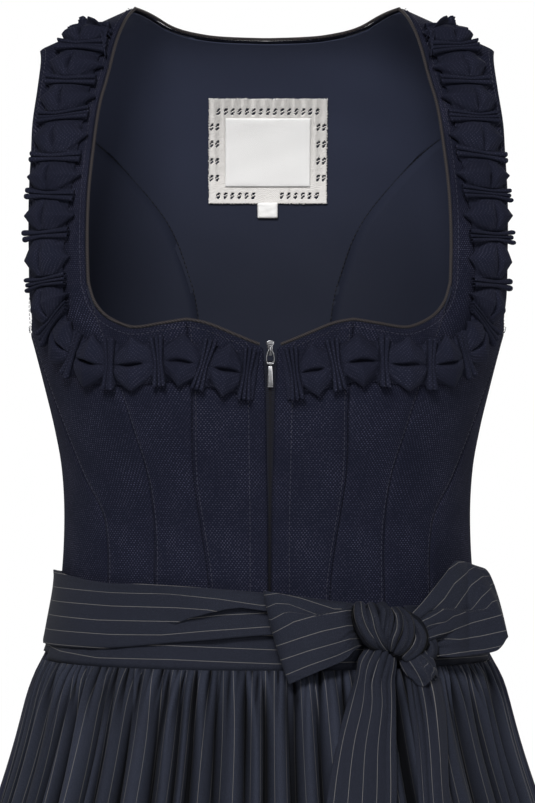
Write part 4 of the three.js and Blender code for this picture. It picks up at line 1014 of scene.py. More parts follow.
stitched_lines = [
    line_inside(centre_piece, 1, 2.5), line_inside(princess_piece, 1, 2.5),
    line_inside(side_front_piece, 1, 2.5, to_row=8 / 15), line_inside(side_piece, 1, 2.5),
    line_inside(side_back_piece, 1, 2.5), line_inside(centre_piece, 0, 11.5), line_inside(back_piece, 0, 2.5,
                                                                                          to_row=8 / 12),
    line_inside(side_front_piece, 1, 4.0, from_row=8 / 15), line_inside(back_piece, 0, 4.0, from_row=8 / 12),
]
for lines_edge, away in ((chain((neck_front, 5), (neck_side, 8), (neck_strap, 13), (neck_back, 9)), 3.4),):
    shares = np.linspace(0.004, 0.996, 500)
    line = beside_edge(lines_edge, shares, away, CLOTH + 0.02)
    a, b = lines_edge(shares)
    around, up = body_tangents(a, b)
    stitched_lines.append((line, unit(np.cross(around, up))))
for edge_line in (armhole_side, armhole_back):
    shares = np.linspace(0.01, 0.99, 120)
    line = beside_edge(edge_line, shares, -4.0, CLOTH + 0.02)
    a, b = edge_line(shares)
    around, up = body_tangents(a, b)
    stitched_lines.append((line, unit(np.cross(around, up))))
for number, (line, out) in enumerate(stitched_lines):
    stitch_row(f"topstitch_right_{number}", line, out, navy_sewing)
    stitch_row(f"topstitch_left_{number}", line * MIRROR, out * MIRROR, navy_sewing)

# The lining's seams as rows of thread far darker than the lining: a real seam line, with its darkness painted shade of
# the seam's groove.
seam_shade_thread = thread_material("lining_seam_thread_painted_shade", (0.0035, 0.0040, 0.0065))
seam_angle, seam_level = back_princess(np.linspace(0.03, 0.98, 200))
seam_around, seam_up = body_tangents(seam_angle, seam_level)
seam_line = body_point(seam_angle, seam_level, -LINING_GAP - 1.05)
seam_inward = -unit(np.cross(seam_around, seam_up))
stitch_row("lining_seam_right", seam_line, seam_inward, seam_shade_thread, 3.0, 0.2, 0.3)
stitch_row("lining_seam_left", seam_line * MIRROR, seam_inward * MIRROR, seam_shade_thread, 3.0, 0.2, 0.3)

# Front zip: woven tapes behind the two front edges, a nylon coil that fills the narrow gap, and a small bright
# cast slider at its top with a wire link and a slim pull that hang from its eye.
def bright_metal():
    recipe = Recipe("bright_cast_metal", Metallic=1.0)
    place = recipe.node("ShaderNodeTexCoord", {}, [])[3]
    rubbed = recipe.noise(place, 700.0, 3.0)
    recipe.feed("Base Color", recipe.mix(rubbed, (0.13, 0.13, 0.14, 1), (0.36, 0.36, 0.37, 1)))
    recipe.feed("Roughness", 0.22 + rubbed * 0.2)
    return recipe.material


zip_metal = bright_metal()
zip_tape = plain_cloth("zip_tape_weave", (0.016, 0.017, 0.026), 0.6 * MM, 0.8, 0.05)
zip_coil_nylon = plain_cloth("zip_coil_nylon", (0.011, 0.011, 0.014), 0.3 * MM, 0.45, 0.0)
for side in ("right", "left"):
    outer = panel_points(centre_piece, 6, 40, -0.35)[:, :4]
    points = mirrored(outer) if side == "left" else outer
    tape = grid_mesh(f"zip_tape_cloth_{side}", points, flat_place(points))
    thicken(tape, 0.7, zip_tape)
    enter_sheet(tape, points, [f"panel_centre_front_{side}"], f"zip_tape_{side}")

COIL_PITCH = 1.15
coil_share = np.linspace(0.0, 0.955, 400)
edge_angle, edge_level = centre_front(coil_share)
edge_line = body_point(edge_angle, edge_level, 0.35)
edge_run = run_along(edge_line)
coil_verts, coil_faces = [], []
for number, at in enumerate(np.arange(0.6, edge_run[-1], COIL_PITCH / 2)):
    place_x, place_y, place_z = (float(np.interp(at, edge_run, edge_line[:, k])) for k in range(3))
    side = 1 if number % 2 else -1
    reach = max(place_x - 0.1, 0.5)
    base = len(coil_verts)
    for share, swell in ((-0.35, 0.55), (-0.1, 0.9), (0.45, 1.0), (1.0, 0.8)):
        for k in range(6):
            turned = math.pi * k / 3
            coil_verts.append((side * share * reach, place_y - 0.42 * swell * math.cos(turned) - 0.15,
                               place_z + 0.40 * swell * math.sin(turned)))
    for ring_number in range(3):
        for k in range(6):
            a, b = base + ring_number * 6 + k, base + ring_number * 6 + (k + 1) % 6
            coil_faces.append((a, b, b + 6, a + 6))
    coil_faces.append(tuple(base + k for k in range(6)))
    coil_faces.append(tuple(base + 18 + k for k in range(6)))
coil = new_object("zip_coil_teeth", coil_verts, coil_faces, zip_coil_nylon)
face_outward(coil)
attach(coil, "dress")
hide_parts("zip_coil")

ZIP_FACE_Y, SLIDER_FRONT_Y, PULL_Y, PULL_Z = -111.686, -113.486, -114.736, -219.5


def box_piece(name, middle, size, taper=1.0, width=0.5, nose=0.0):
    """A cast block: a cube scaled to size, narrowed at its foot, swollen at its top, with rounded edges."""
    bpy.ops.object.select_all(action="DESELECT")
    bpy.ops.mesh.primitive_cube_add(size=1, location=Vector(middle) * MM)
    block = bpy.context.object
    block.name = name
    block.scale = Vector(size) * MM
    bpy.ops.object.transform_apply(location=True, scale=True, rotation=True)
    bpy.ops.object.mode_set(mode="EDIT")
    bpy.ops.mesh.select_all(action="SELECT")
    bpy.ops.mesh.subdivide(number_cuts=3)
    bpy.ops.object.mode_set(mode="OBJECT")
    foot, top = (middle[2] - size[2] / 2) * MM, (middle[2] + size[2] / 2) * MM
    for vertex in block.data.vertices:
        share = (vertex.co.z - foot) / (top - foot)
        vertex.co.x *= taper + (1 - taper) * share
        if nose and share > 0.7:
            vertex.co.z += nose * MM * (1 - (vertex.co.x / (size[0] * 0.5 * MM)) ** 2)
    apply_modifier(block, "BEVEL", width=width * MM, segments=3, limit_method="ANGLE", angle_limit=math.radians(30))
    block.data.materials.append(zip_metal)
    bpy.ops.object.shade_smooth_by_angle(angle=math.radians(50))
    return block


def wire_ring(name, middle, half_width, half_height, wire, squeeze=0.0, axis="Y"):
    """A wire link: a torus turned upright, drawn to an oval, and narrowed towards its foot."""
    bpy.ops.object.select_all(action="DESELECT")
    turn = (math.pi / 2, 0, 0) if axis == "Y" else (math.pi / 2, 0, math.pi / 2)
    bpy.ops.mesh.primitive_torus_add(major_radius=1.0 * MM, minor_radius=0.001 * MM, major_segments=48,
                                     minor_segments=12, location=(0, 0, 0), rotation=turn)
    link = bpy.context.object
    link.name = name
    bpy.ops.object.transform_apply(location=False, scale=False, rotation=True)
    for number, vertex in enumerate(link.data.vertices):
        turned, around = 2 * math.pi * (number // 12) / 48, 2 * math.pi * (number % 12) / 12
        narrow = 1 - squeeze * (0.5 + 0.5 * math.sin(turned))
        corner = (abs(math.cos(turned)) ** 0.8 * math.copysign(1, math.cos(turned)),
                  abs(math.sin(turned)) ** 0.8 * math.copysign(1, math.sin(turned)))
        out = Vector((math.cos(turned), 0, math.sin(turned)))
        centre = Vector((corner[0] * half_width * narrow, 0, corner[1] * half_height))
        place = centre + out * wire * math.cos(around) + Vector((0, 1, 0)) * wire * math.sin(around)
        if axis == "X":
            place = Vector((place.y, place.x, place.z))
        vertex.co = (place + Vector(middle)) * MM
    face_outward(link)
    link.data.materials.append(zip_metal)
    return link


def join_pieces(name, parts):
    """Makes one object of several meshes of the same piece."""
    bpy.ops.object.select_all(action="DESELECT")
    for part in parts:
        part.select_set(True)
    bpy.context.view_layer.objects.active = parts[0]
    if len(parts) > 1:
        bpy.ops.object.join()
    joined = bpy.context.object
    joined.name = name
    return joined


slider_block = box_piece("slider_block", (0, -111.6, -218.8), (4.4, 2.8, 8.4), taper=0.55, width=0.8)
slider_lip = box_piece("slider_lip", (0, -112.6, -215.2), (5.2, 1.8, 2.0), taper=0.9, width=0.55, nose=1.0)
slider_eye = wire_ring("slider_eye", (0, SLIDER_FRONT_Y - 0.9, PULL_Z), 1.55, 2.3, 0.55, axis="X")
slider = join_pieces("zip_cast_slider", [slider_block, slider_lip, slider_eye])
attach(slider, "dress")
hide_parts("zip_slider")
link = wire_ring("pull_link", (0, PULL_Y, PULL_Z + 0.1 - 4.4), 2.9, 4.4, 0.55, squeeze=0.4)
crossbar = box_piece("pull_crossbar", (0, PULL_Y, PULL_Z - 8.3), (4.4, 1.2, 1.1), width=0.3)
tab = box_piece("pull_tab", (0, PULL_Y, -236.2), (4.3, 1.4, 13.4), taper=1.0, width=0.55)
for vertex in tab.data.vertices:
    share = (vertex.co.z / MM + 242.9) / 13.4
    vertex.co.x *= 0.88 - 0.30 * min(max(share, 0), 1) ** 1.4
    vertex.co.y += 0.25 * MM * math.sin(3.1 * share) * (1 if vertex.co.y > PULL_Y * MM else -1)
pull = join_pieces("zip_link_and_pull", [link, crossbar, tab])
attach(pull, "zip_pull")
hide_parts("zip_pull")

# Skirt: six widths of plain navy cotton gathered into the waist seam. The two widths in front are drawn nearly
# flat under the apron, and the others hang in deep, rounded, uneven folds that widen towards the hem.
HEM_Z, APRON_HEM_Z, APRON_TOP_Z = -1034, -999, -417
APRON_SIDE_DEG, SKIRT_SEAM_DEG = 76, 79
SKIRT_ROWS = np.array([  # height, half width, depth to the front, depth to the back, depth of a fold
    (-404, 137, 96, 88, 0.4), (-415, 141, 101, 93, 1.5), (-435, 147.5, 111, 103, 5), (-480, 159.5, 127, 121, 7),
    (-560, 184, 153, 149, 9), (-700, 222, 190, 190, 12), (-860, 257, 223, 225, 15), (-1034, 288, 251, 254, 17),
], float)


def read_at_height(rows, z):
    levels = np.linspace(0, len(rows) - 1, 400)
    heights = read_rows(rows, levels)[:, 0]
    order = np.argsort(heights)
    return read_rows(rows, np.interp(z, heights[order], levels[order]))


def ring_point(row, angle, lift):
    here = section_point(row, angle)
    along = unit(section_point(row, angle + 0.01) - section_point(row, angle - 0.01))
    lift = np.asarray(lift, float)
    return np.stack([here[..., 0] + along[..., 1] * lift, here[..., 1] - along[..., 0] * lift, here[..., 2]], axis=-1)


def fold_bumps(angles, heights, folds, seed, wander=0.6, crowding=1.0, gap=1.0):
    """Gathers as shares of their full depth at each height and angle, and how far their flanks lean out.

    Long rounded folds touch along narrow valleys, and short ones between them fade out below the seam."""
    draw = random.Random(seed)
    first, last = angles[0], angles[-1]
    pitch = (last - first) / folds
    below = heights.max() - heights
    height = np.zeros((len(heights), len(angles)))
    lean = np.zeros_like(height)
    place = first - 0.5 * pitch
    while place < last + pitch:
        half = pitch * draw.uniform(0.26, 0.74) * crowding
        strength = draw.uniform(0.62, 1.0)
        drift = [draw.uniform(-wander, wander) * pitch * k for k in (0.5, 0.22)]
        phase = draw.uniform(0, 6)
        centre = place + half + drift[0] * below / 500 + drift[1] * np.sin(below / 120 + phase) \
            + 0.5 * drift[0] * np.exp(-below / 18)
        spread = half * (1.04 + 0.10 * np.sin(below / 110 + phase * 2))
        away = np.clip((angles[None, :] - centre[:, None]) / spread[:, None], -1, 1)
        skew = draw.uniform(-0.3, 0.3)
        bent = away + skew * (1 - away**2)
        bump = strength * np.cos(math.pi / 2 * np.clip(bent, -1, 1))
        bump *= (0.9 + 0.1 * np.sin(below / 70 + phase))[:, None]
        lean = np.where(bump > height, 1.5 * np.sign(away) * np.abs(away) ** 3 * (1 - np.abs(away)) * half, lean)
        height = np.maximum(height, bump)
        place += 2 * half * gap * draw.uniform(0.84, 1.22)
    short = np.zeros_like(height)
    place = first
    while place < last:
        half = pitch * draw.uniform(0.12, 0.24)
        length = draw.uniform(14, 60)
        strength = draw.uniform(0.4, 1.0)
        centre = place + draw.uniform(-0.5, 0.5) * pitch * (1 - np.exp(-below / 28))
        fade = strength * np.exp(-((below / length) ** 2))
        away = (angles[None, :] - centre[:, None]) / (half * (1 + below / 120))[:, None]
        short = np.maximum(short, fade[:, None] * (1 - away**2).clip(0) ** 0.6)
        place += 2 * half
    return height, short, lean


def heights_between(top, bottom, rows, crowd=1.7):
    """Heights from the hem up, closer together towards the top, where the gathers are small."""
    return bottom + (top - bottom) * (1 - np.linspace(1, 0, rows + 1) ** crowd)


def skirt_points(angles, heights, lift, lean=0.0):
    row = read_at_height(SKIRT_ROWS, heights)
    angle = np.broadcast_to(angles, (len(heights), len(angles))) + lean
    points = ring_point(np.broadcast_to(row[:, None, :], angle.shape + (5,)), angle, lift)
    points[..., 2] -= waist_dip(angle) * smooth(-560, WAIST_Z, heights)[:, None]
    return points


def gathered_place(points, reference):
    """Cloth coordinates that run straight down each gather: across is measured along one row."""
    across = run_along(points[reference])
    across -= across[len(across) // 2]
    middle = points[:, points.shape[1] // 2]
    climb = run_along(middle)
    return np.stack([np.broadcast_to(across, points.shape[:2]),
                     np.broadcast_to(climb[:, None], points.shape[:2])], axis=-1) * MM


skirt_cloth = plain_cloth("plain_navy_skirt_cotton", (0.0145, 0.0160, 0.0320), 0.5 * MM, 0.88, 0.05)
skirt_heights = heights_between(WAIST_Z - 0.8, HEM_Z, 46)
front_edge, back_edge = math.radians(SKIRT_SEAM_DEG), 2 * math.pi - math.radians(SKIRT_SEAM_DEG)
back_width = back_edge - front_edge
for name, start, end, columns, folds, seed in (
    ("front_left", -front_edge, 0.0, 60, 9, 31),
    ("front_right", 0.0, front_edge, 60, 9, 32),
    ("side_right", front_edge, front_edge + back_width * 6 / 22, 150, 6, 33),
    ("back_right", front_edge + back_width * 6 / 22, front_edge + back_width * 0.5, 130, 5, 34),
    ("back_left", front_edge + back_width * 0.5, back_edge - back_width * 6 / 22, 130, 5, 35),
    ("side_left", back_edge - back_width * 6 / 22, back_edge, 150, 6, 36),
):
    angles = np.linspace(start - 0.0006, end + 0.0006, columns + 1)
    long_folds, short_folds, lean = fold_bumps(angles, skirt_heights, folds, seed)
    depth = read_at_height(SKIRT_ROWS, skirt_heights)[:, 4][:, None]
    at_seam = smooth(0.004, 0.045, np.minimum(angles - start, end - angles))[None, :]
    if name.startswith("front"):
        lift = np.minimum(1.5, depth) * long_folds * at_seam
    else:
        lift = (depth * 0.9 * long_folds + np.minimum(depth, 5) * short_folds * 0.5) * at_seam
        lift = np.minimum(lift, depth * 0.98)
    points = skirt_points(angles, skirt_heights, CLOTH - 0.1 + lift, lean * at_seam * (0 if "front" in name else 1))
    # Painted shade: each width is darkened in the valleys between its long folds.
    width = grid_mesh(f"skirt_width_{name}", points, gathered_place(points, 25),
                      0.6 * (1 - long_folds) ** 1.5)
    thicken(width, 0.8, skirt_cloth)
    enter_sheet(width, points, ["panel_side_right" if "right" in name else "panel_side_left"],
                f"skirt_{name}")

# Apron: one width of smooth grey-navy cotton with thin off-white stripes, gathered tightly into its waistband
# by many rows of stitches, so that short uneven gathers run into some thirty long folds down to the hem.
STRIPE_PITCH, STRIPE_WIDTH = 8.9 * MM, 0.34 * MM


def striped_cloth(name, base, stripe):
    """Smooth grey-navy cotton: fine pale specks all over, a thin off-white stripe every 9 mm, and painted shade where
    the mesh carries it.
    """
    recipe = Recipe(name, Roughness=0.8, Specular_IOR_Level=0.05, Sheen_Weight=0.02, Sheen_Roughness=0.4)
    place, across, along = recipe.cloth_place()
    line = ((across / STRIPE_PITCH).math("FRACT") - 0.5).math("ABSOLUTE") < STRIPE_WIDTH / STRIPE_PITCH / 2
    specks = recipe.noise(place, 2600.0, 1.0)
    clouds = recipe.noise(place, 14.0, 3.0)
    bright = (specks - 0.56).math("MAXIMUM", 0.0) * 6.0
    ground = recipe.mix(clouds, shade(base, 0.85), shade(base, 1.15))
    flecked = recipe.mix(bright.math("MINIMUM", 0.6), ground, shade(base, 3.2))
    worn = 0.62 + specks * 0.5
    striped = recipe.mix(line * worn, flecked, shade(stripe))
    # Painted shade: the colour is darkened towards black where the mesh's painted-shade values say.
    recipe.feed("Base Color", recipe.with_painted_shade(striped))
    recipe.bump(weave_height(recipe, across, along, 0.45 * MM) + line * 0.6 + specks, 0.03 * MM, 0.25)
    return recipe.material


STRIPE_PALE = (0.118, 0.114, 0.112)
# One striped cotton given twice: the apron's copy is painted lighter, as lit, and the copy for the waistband, ties, bow
# and knot is painted darker, as shaded.
lit_apron_cloth = striped_cloth("striped_apron_cotton_painted_light", (0.0186, 0.0213, 0.0322), STRIPE_PALE)
shaded_band_cloth = striped_cloth("striped_band_cotton_painted_shade", (0.0115, 0.0130, 0.0198), STRIPE_PALE)
apron_heights = heights_between(APRON_TOP_Z + 1, APRON_HEM_Z, 46)
apron_edge = math.radians(APRON_SIDE_DEG)
apron_angles = np.linspace(-apron_edge, apron_edge, 641)
ring = section_point(read_at_height(SKIRT_ROWS, np.full(641, -480.0)), apron_angles)
apron_run = run_along(ring[:, :2])
long_folds, short_folds, lean = fold_bumps(apron_run, apron_heights, 30, 51, wander=0.8, crowding=0.92, gap=1.06)
lean = lean * np.gradient(apron_angles, apron_run)[None, :]
depth = read_at_height(SKIRT_ROWS, apron_heights)[:, 4][:, None]
fold_depth = np.interp(APRON_TOP_Z - apron_heights, [-2, 6, 22, 60, 130, 600], [3.2, 6.5, 8.5, 10.0, 12.0, 17])[:, None]
near_seam = np.exp(-(((APRON_TOP_Z - apron_heights) / 14) ** 2))[:, None]
toward_side = 1 - 0.5 * smooth(math.radians(60), apron_edge, np.abs(apron_angles))[None, :]
lift = fold_depth * toward_side * (long_folds * (1 - 0.6 * near_seam) + (0.4 + 0.6 * near_seam) * short_folds)
at_side = np.minimum(1, (apron_edge - np.abs(apron_angles))[None, :] / 0.05)
points = skirt_points(apron_angles, apron_heights, 1.9 + np.minimum(1.5, depth) + CLOTH - 0.4 + lift, lean * at_side)
# Painted shade: the apron is darkened in the valleys between its folds, and just under the band between the short
# gathers.
under_band = np.exp(-(((APRON_TOP_Z - apron_heights) / 26) ** 2))[:, None]
raised = np.clip((1 - under_band) * long_folds + (0.35 + 0.95 * under_band) * short_folds, 0, 1)
on_cloth = gathered_place(points, 34)
shift = 2.4 * np.sin(apron_run / 9.1 + 1.3) + 1.5 * np.sin(apron_run / 4.3 + 0.5)  # the stripes lean at the seam
on_cloth[..., 0] += shift * MM * np.exp((apron_heights - APRON_TOP_Z) / 24)[:, None]
apron = grid_mesh("apron_width", points, on_cloth, 0.94 * (1 - raised) ** 1.15)
thicken(apron, 0.7, lit_apron_cloth)
enter_sheet(apron, points, ["skirt_width_front_left", "skirt_width_front_right"], "apron")

# Apron waistband and the ties' two turns round the waist: the apron's cloth, turned so that its stripes run
# round the body. The band is stitched to the gathers, and the ties are wound over it, drawn together and
# slightly crumpled towards the bow.
TIE_LIFT = 2.5
BAND_ROWS = np.array([  # height, half width, depth to the front, depth to the back
    (-424, 148.8, 110.2, 102.2), (-412, 143.3, 103.5, 95.4), (-400, 139.8, 99, 91), (-380, 136, 96.6, 87.6),
    (-356, 133.4, 95.6, 85.6),
], float)
TIE_EDGES = np.array([  # degrees round from the front, upper edge, lower edge
    (-360, -373, -399), (-325, -381, -405), (-300, -378, -408), (-270, -370, -410), (-225, -367, -411),
    (-180, -367, -410), (-135, -364, -410), (-90, -360, -407), (-75, -361, -407.5), (-48, -366.7, -408.5),
    (-30, -367.5, -406), (-12, -370, -402), (0, -373, -399), (15, -378, -397), (30, -382, -398),
], float)


def band_point(angle, z, lift):
    dip = waist_dip(angle) * (1 - smooth(-412, -396, z))
    points = ring_point(read_at_height(BAND_ROWS, z + dip), angle, lift)
    points[..., 2] = z
    return points


def ribbon_place(points, width, height=None):
    """Cloth coordinates of a ribbon whose rows run across it: stripes follow it however it is drawn in."""
    middle = points[:, points.shape[1] // 2]
    run = run_along(middle) * MM
    across = np.linspace(0, width, points.shape[1]) * MM
    return np.stack([np.broadcast_to(across, points.shape[:2]), np.broadcast_to(run[:, None], points.shape[:2])],
                    axis=-1)


def stripe_count(column, row, lines, pitch=13.9):
    """How many stripes lie above a place, read between the courses the stripes take in the photograph."""
    rows = [np.interp(column, *np.array(line, float).T) for line in lines]
    count = (row - rows[0]) / pitch
    for k in range(1, len(rows)):
        span = np.maximum(rows[k] - rows[k - 1], 1.0)
        count = np.where(row > rows[k - 1], k - 1 + (row - rows[k - 1]) / span, count)
    return np.where(row > rows[-1], len(rows) - 1 + (row - rows[-1]) / pitch, count)


def stripes_as_seen(points, place, counts, where):
    """Cloth coordinates whose across part puts the stripes where the counts are whole, in part of a sheet."""
    laid = place.copy()
    laid[..., 0] = np.where(where, (counts + 0.5) * STRIPE_PITCH, place[..., 0])
    return laid


def photo_place(points):
    """Columns and rows of the photograph at which points of the dress's front are seen."""
    return points[..., 0] / PIXEL + ZIP_COLUMN, SHOULDER_ROW - points[..., 2] / PIXEL


def band_sheet(name, node, degrees, share, edges, lift, relief, width, rests_on, stripes=None):
    """A band round the waist, its columns running round and its rows up, with a relief in millimetres."""
    angle = np.radians(degrees)
    z = np.stack([np.interp(share, np.linspace(0, 1, len(edges)), levels) for levels in np.stack(edges).T[:, ::-1]],
                 axis=1)
    turned = np.broadcast_to(angle, z.shape)
    out, down = relief(turned, z, share[:, None] * np.ones_like(z))
    points = band_point(turned, z - down, lift + out)
    place = ribbon_place(points.transpose(1, 0, 2), width).transpose(1, 0, 2)
    if stripes:
        place = stripes_as_seen(points, place, stripes(turned, points), True)
    band = grid_mesh(name, points, place)
    thicken(band, 0.8, shaded_band_cloth)
    enter_sheet(band, points, rests_on, node)
    return band


def band_relief(angle, z, share):
    return 1.0 - 0.7 * dent(share, 0.0, 0.05) + 0.25 * np.sin(angle * 31 + 2 * np.sin(angle * 7)), 0


BAND_STRIPES = [[(51, 633), (97, 641.7), (169, 642.4), (274, 646.4)],
                [(51, 646.4), (60, 650), (97, 655.3), (169, 656), (274, 660), (500, 655)]]
band_degrees = np.linspace(-APRON_SIDE_DEG, APRON_SIDE_DEG, 241)
band_sheet("apron_band", "apron_waistband", band_degrees, np.linspace(0, 1, 12),
           (np.full(241, -386.0), -416 - waist_dip(np.radians(band_degrees))), 0, band_relief, 34,
           ["panel_centre_front_left"],
           stripes=lambda angle, points: stripe_count(*photo_place(points), BAND_STRIPES))
wrap_degrees = np.linspace(APRON_SIDE_DEG + 0.3, 360 - APRON_SIDE_DEG - 0.3, 261)
band_sheet("tie_turn_under", "tie_first_wrap", wrap_degrees, np.linspace(0, 1, 10),
           (np.full(261, -370.0), np.full(261, -412.0)), 0,
           lambda angle, z, share: (0.9 + 0.35 * np.sin(share * 9 + angle * 3) * np.sin(angle * 2.2), 0), 46,
           ["panel_back"])

# The outer turn in front: its upper part is drawn over its lower part in one long fold that begins left of the
# middle and deepens towards the bow, and its lower edge stands off the waistband there.
TIE_FOLD = [(45, 608), (120, 613), (152, 618), (176, 620.7), (190, 614.3), (209, 607.9), (226, 603.9), (240, 602.4),
            (261, 605.3), (300, 609)]
TIE_UPPER = [[(45, 572), (57, 573), (76, 575), (97, 580), (262, 588)],
             [(45, 586.5), (56, 587.1), (111, 590.7), (169, 591.4), (219, 596.4), (259, 602.4)],
             [(45, 600), (53, 600.7), (111, 603.9), (176, 605), (206, 606.7), (262, 616)],
             [(45, 614.6), (51, 615), (97, 618.1), (176, 618.6), (262, 630)]]
TIE_LOWER = [[(45, 600), (176, 605), (190, 602), (262, 596)],
             [(45, 614.6), (51, 615), (97, 618.1), (176, 618.6), (190, 615.7), (219, 612.1), (262, 610)],
             [(45, 629), (49, 629.3), (111, 632.1), (161, 631.9), (204, 627.9), (264, 623.6)]]


def tie_fold_share(angle, points):
    """How much of the front fold there is at a place: none on the left, all of it from the middle on."""
    return smooth(163, 212, points[..., 0] / 0.64 + 268) * (np.degrees(angle) > -80)


def tie_relief(angle, z, share):
    fold = tie_fold_share(angle, band_point(angle, z, TIE_LIFT))
    over = np.maximum(share - 0.5, 0)
    under = np.maximum(0.5 - share, 0)
    upper = share > 0.5
    out = np.where(upper, 4.6 * np.exp(-over / 0.22), -1.0 * np.exp(-((under / 0.05) ** 2))) * fold
    down = np.where(upper, 1.6 * np.exp(-over / 0.07), 0) * fold
    slack = 0.45 * np.sin(np.degrees(angle) * 0.21 + share * 5) * np.sin(share * math.pi)
    lower_edge = 3.2 * np.exp(-share / 0.16) * fold
    round_edge = 0.5 * dent(share, 1.0, 0.05) - 0.8 * dent(share, 0.0, 0.03)
    return 0.9 + out + slack + lower_edge + round_edge, down


def tie_stripes(angle, points):
    column, row = photo_place(points)
    column = np.where(np.degrees(angle) > -86, column, 45)
    upper, lower = stripe_count(column, row, TIE_UPPER), stripe_count(column, row, TIE_LOWER) + 2
    rows = np.arange(points.shape[0])[:, None] >= points.shape[0] // 2
    return np.where(rows, upper, lower)


tie_degrees = np.concatenate([np.linspace(-325, -100, 140), np.linspace(-99.4, 30, 250)])
tie_levels = np.interp(tie_degrees, TIE_EDGES[:, 0], np.arange(len(TIE_EDGES)))
for _ in range(3):
    read = read_rows(TIE_EDGES, tie_levels)[:, 0]
    tie_levels += (tie_degrees - read) / 25
tie_read = read_rows(TIE_EDGES, tie_levels)
tie_middle = band_point(np.radians(tie_degrees), tie_read[:, 1:3].mean(axis=1), TIE_LIFT)[:, 0] / 0.64 + 268
tie_fold_z = (SHOULDER_ROW - np.interp(tie_middle, *np.array(TIE_FOLD, float).T)) * 0.64
tie_fold_z = np.where(tie_degrees > -90, tie_fold_z, tie_read[:, 1:3].mean(axis=1))
band_sheet("tie_turn_over", "tie_second_wrap", tie_degrees,
           np.concatenate([np.linspace(0, 0.499, 17), np.linspace(0.503, 1, 17)]),
           (tie_read[:, 1], tie_fold_z, tie_read[:, 2]), TIE_LIFT, tie_relief, 45, ["apron_band", "tie_turn_under"],
           stripes=tie_stripes)

# Bow: the ties' ends, tied once at the viewer's right of the middle. Each loop is a ribbon that leaves the knot,
# turns over in a soft fold and comes back in front, its cloth pleated where the knot grips it.
LOOP_REACH_X = 126
RIBBON_WIDTH = 57


def front_layer(x, z, lift):
    """How far forward the cloth on the waist and the apron reaches at a point seen from the front."""
    x, z = np.asarray(x, float), np.asarray(z, float)
    band, skirt = read_at_height(BAND_ROWS, z), read_at_height(SKIRT_ROWS, z)
    blend = smooth(-436, -418, z)
    fold = skirt[..., 4]
    over_apron = CLOTH + 0.3 + CLOTH + np.minimum(1.5, fold) + np.maximum(fold - 1.5, 0)
    stack = over_apron * (1 - blend) + (TIE_LIFT + CLOTH) * blend + lift
    half_width = skirt[..., 1] * (1 - blend) + band[..., 1] * blend + stack
    front = skirt[..., 2] * (1 - blend) + band[..., 2] * blend + stack
    across = np.minimum(np.abs(x), LOOP_REACH_X) / half_width
    return -front * (1 - across**SECTION_POWER) ** (1 / SECTION_POWER)


def seen_at(column, row):
    """A place on the dress's front in millimetres, from the photograph's column and row."""
    return (column - ZIP_COLUMN) * PIXEL, -(row - SHOULDER_ROW) * PIXEL


def ribbon(name, stations, knot_share, seed, columns=44, rows=60, wrinkle=1.0, pleats=3, width=RIBBON_WIDTH):
    """A ribbon through stations: each gives its two edges and its middle as seen, and their lifts."""
    corners = np.array([[*seen_at(*a), *seen_at(*m), *seen_at(*b), *lifts] for a, m, b, lifts in stations], float)
    u = np.linspace(0, 1, rows + 1)
    read = read_rows(corners, u * (len(corners) - 1))
    v = np.linspace(0, 1, columns + 1)[None, :]
    first, middle, last = (1 - v) * (1 - 2 * v), 4 * v * (1 - v), v * (2 * v - 1)
    x = read[:, 0:1] * first + read[:, 2:3] * middle + read[:, 4:5] * last
    z = read[:, 1:2] * first + read[:, 3:4] * middle + read[:, 5:6] * last
    lift = read[:, 6:7] * first + read[:, 7:8] * middle + read[:, 8:9] * last
    draw = random.Random(seed)
    grip = np.exp(-((knot_share(u)[:, None]) / 0.30) ** 1.6)
    pleat = np.abs(np.sin(math.pi * (v * pleats + 0.12 * np.sin(u[:, None] * 9)))) ** 0.7
    lift = lift + wrinkle * 2.6 * grip * (pleat - 0.45)
    away = knot_share(u)[:, None]
    for _ in range(7):
        at, slant, spread = draw.uniform(0.08, 0.92), draw.uniform(-0.25, 0.25), draw.uniform(0.02, 0.05)
        reach, size = draw.uniform(0.35, 0.8), draw.uniform(0.5, 1.3) * draw.choice((-1, 1))
        lift = lift + wrinkle * size * np.exp(-(((v - at - slant * away) / (spread * (0.5 + 2.2 * away))) ** 2)) \
            * np.exp(-((away / reach) ** 2))
    lift = lift + 0.35 * np.sin(v * 13 + u[:, None] * 8 + seed)
    y = front_layer(x, z, lift)
    points = np.stack([x, y, z], axis=-1)
    return points, ribbon_place(points, width)


def bow_piece(name, node, strips):
    """One piece of the bow made of one or more strips of ribbon, each facing the viewer."""
    parts, area = [], 0
    for k, (points, place) in enumerate(strips):
        part = grid_mesh(f"{name}_{k}", points, place)
        thicken(part, 0.8, shaded_band_cloth)
        parts.append(part)
        area += grid_area(points)
    piece = join_pieces(name, parts)
    length = sum(np.linalg.norm(np.diff(points, axis=0), axis=2).sum(axis=0).max() for points, _ in strips) * MM
    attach(piece, "dress")
    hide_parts(node)
    return piece


both_ends = lambda u: np.minimum(u, 1 - u) * 2


def fold_step(column, row, course, span):
    """From 0 above a fold's course to 1 below it, where the fold runs from its strong end to its faint one."""
    strong, faint = span
    return smooth(-0.9, 0.9, row - np.interp(column, *np.array(course, float).T)) * smooth(faint, strong, column)


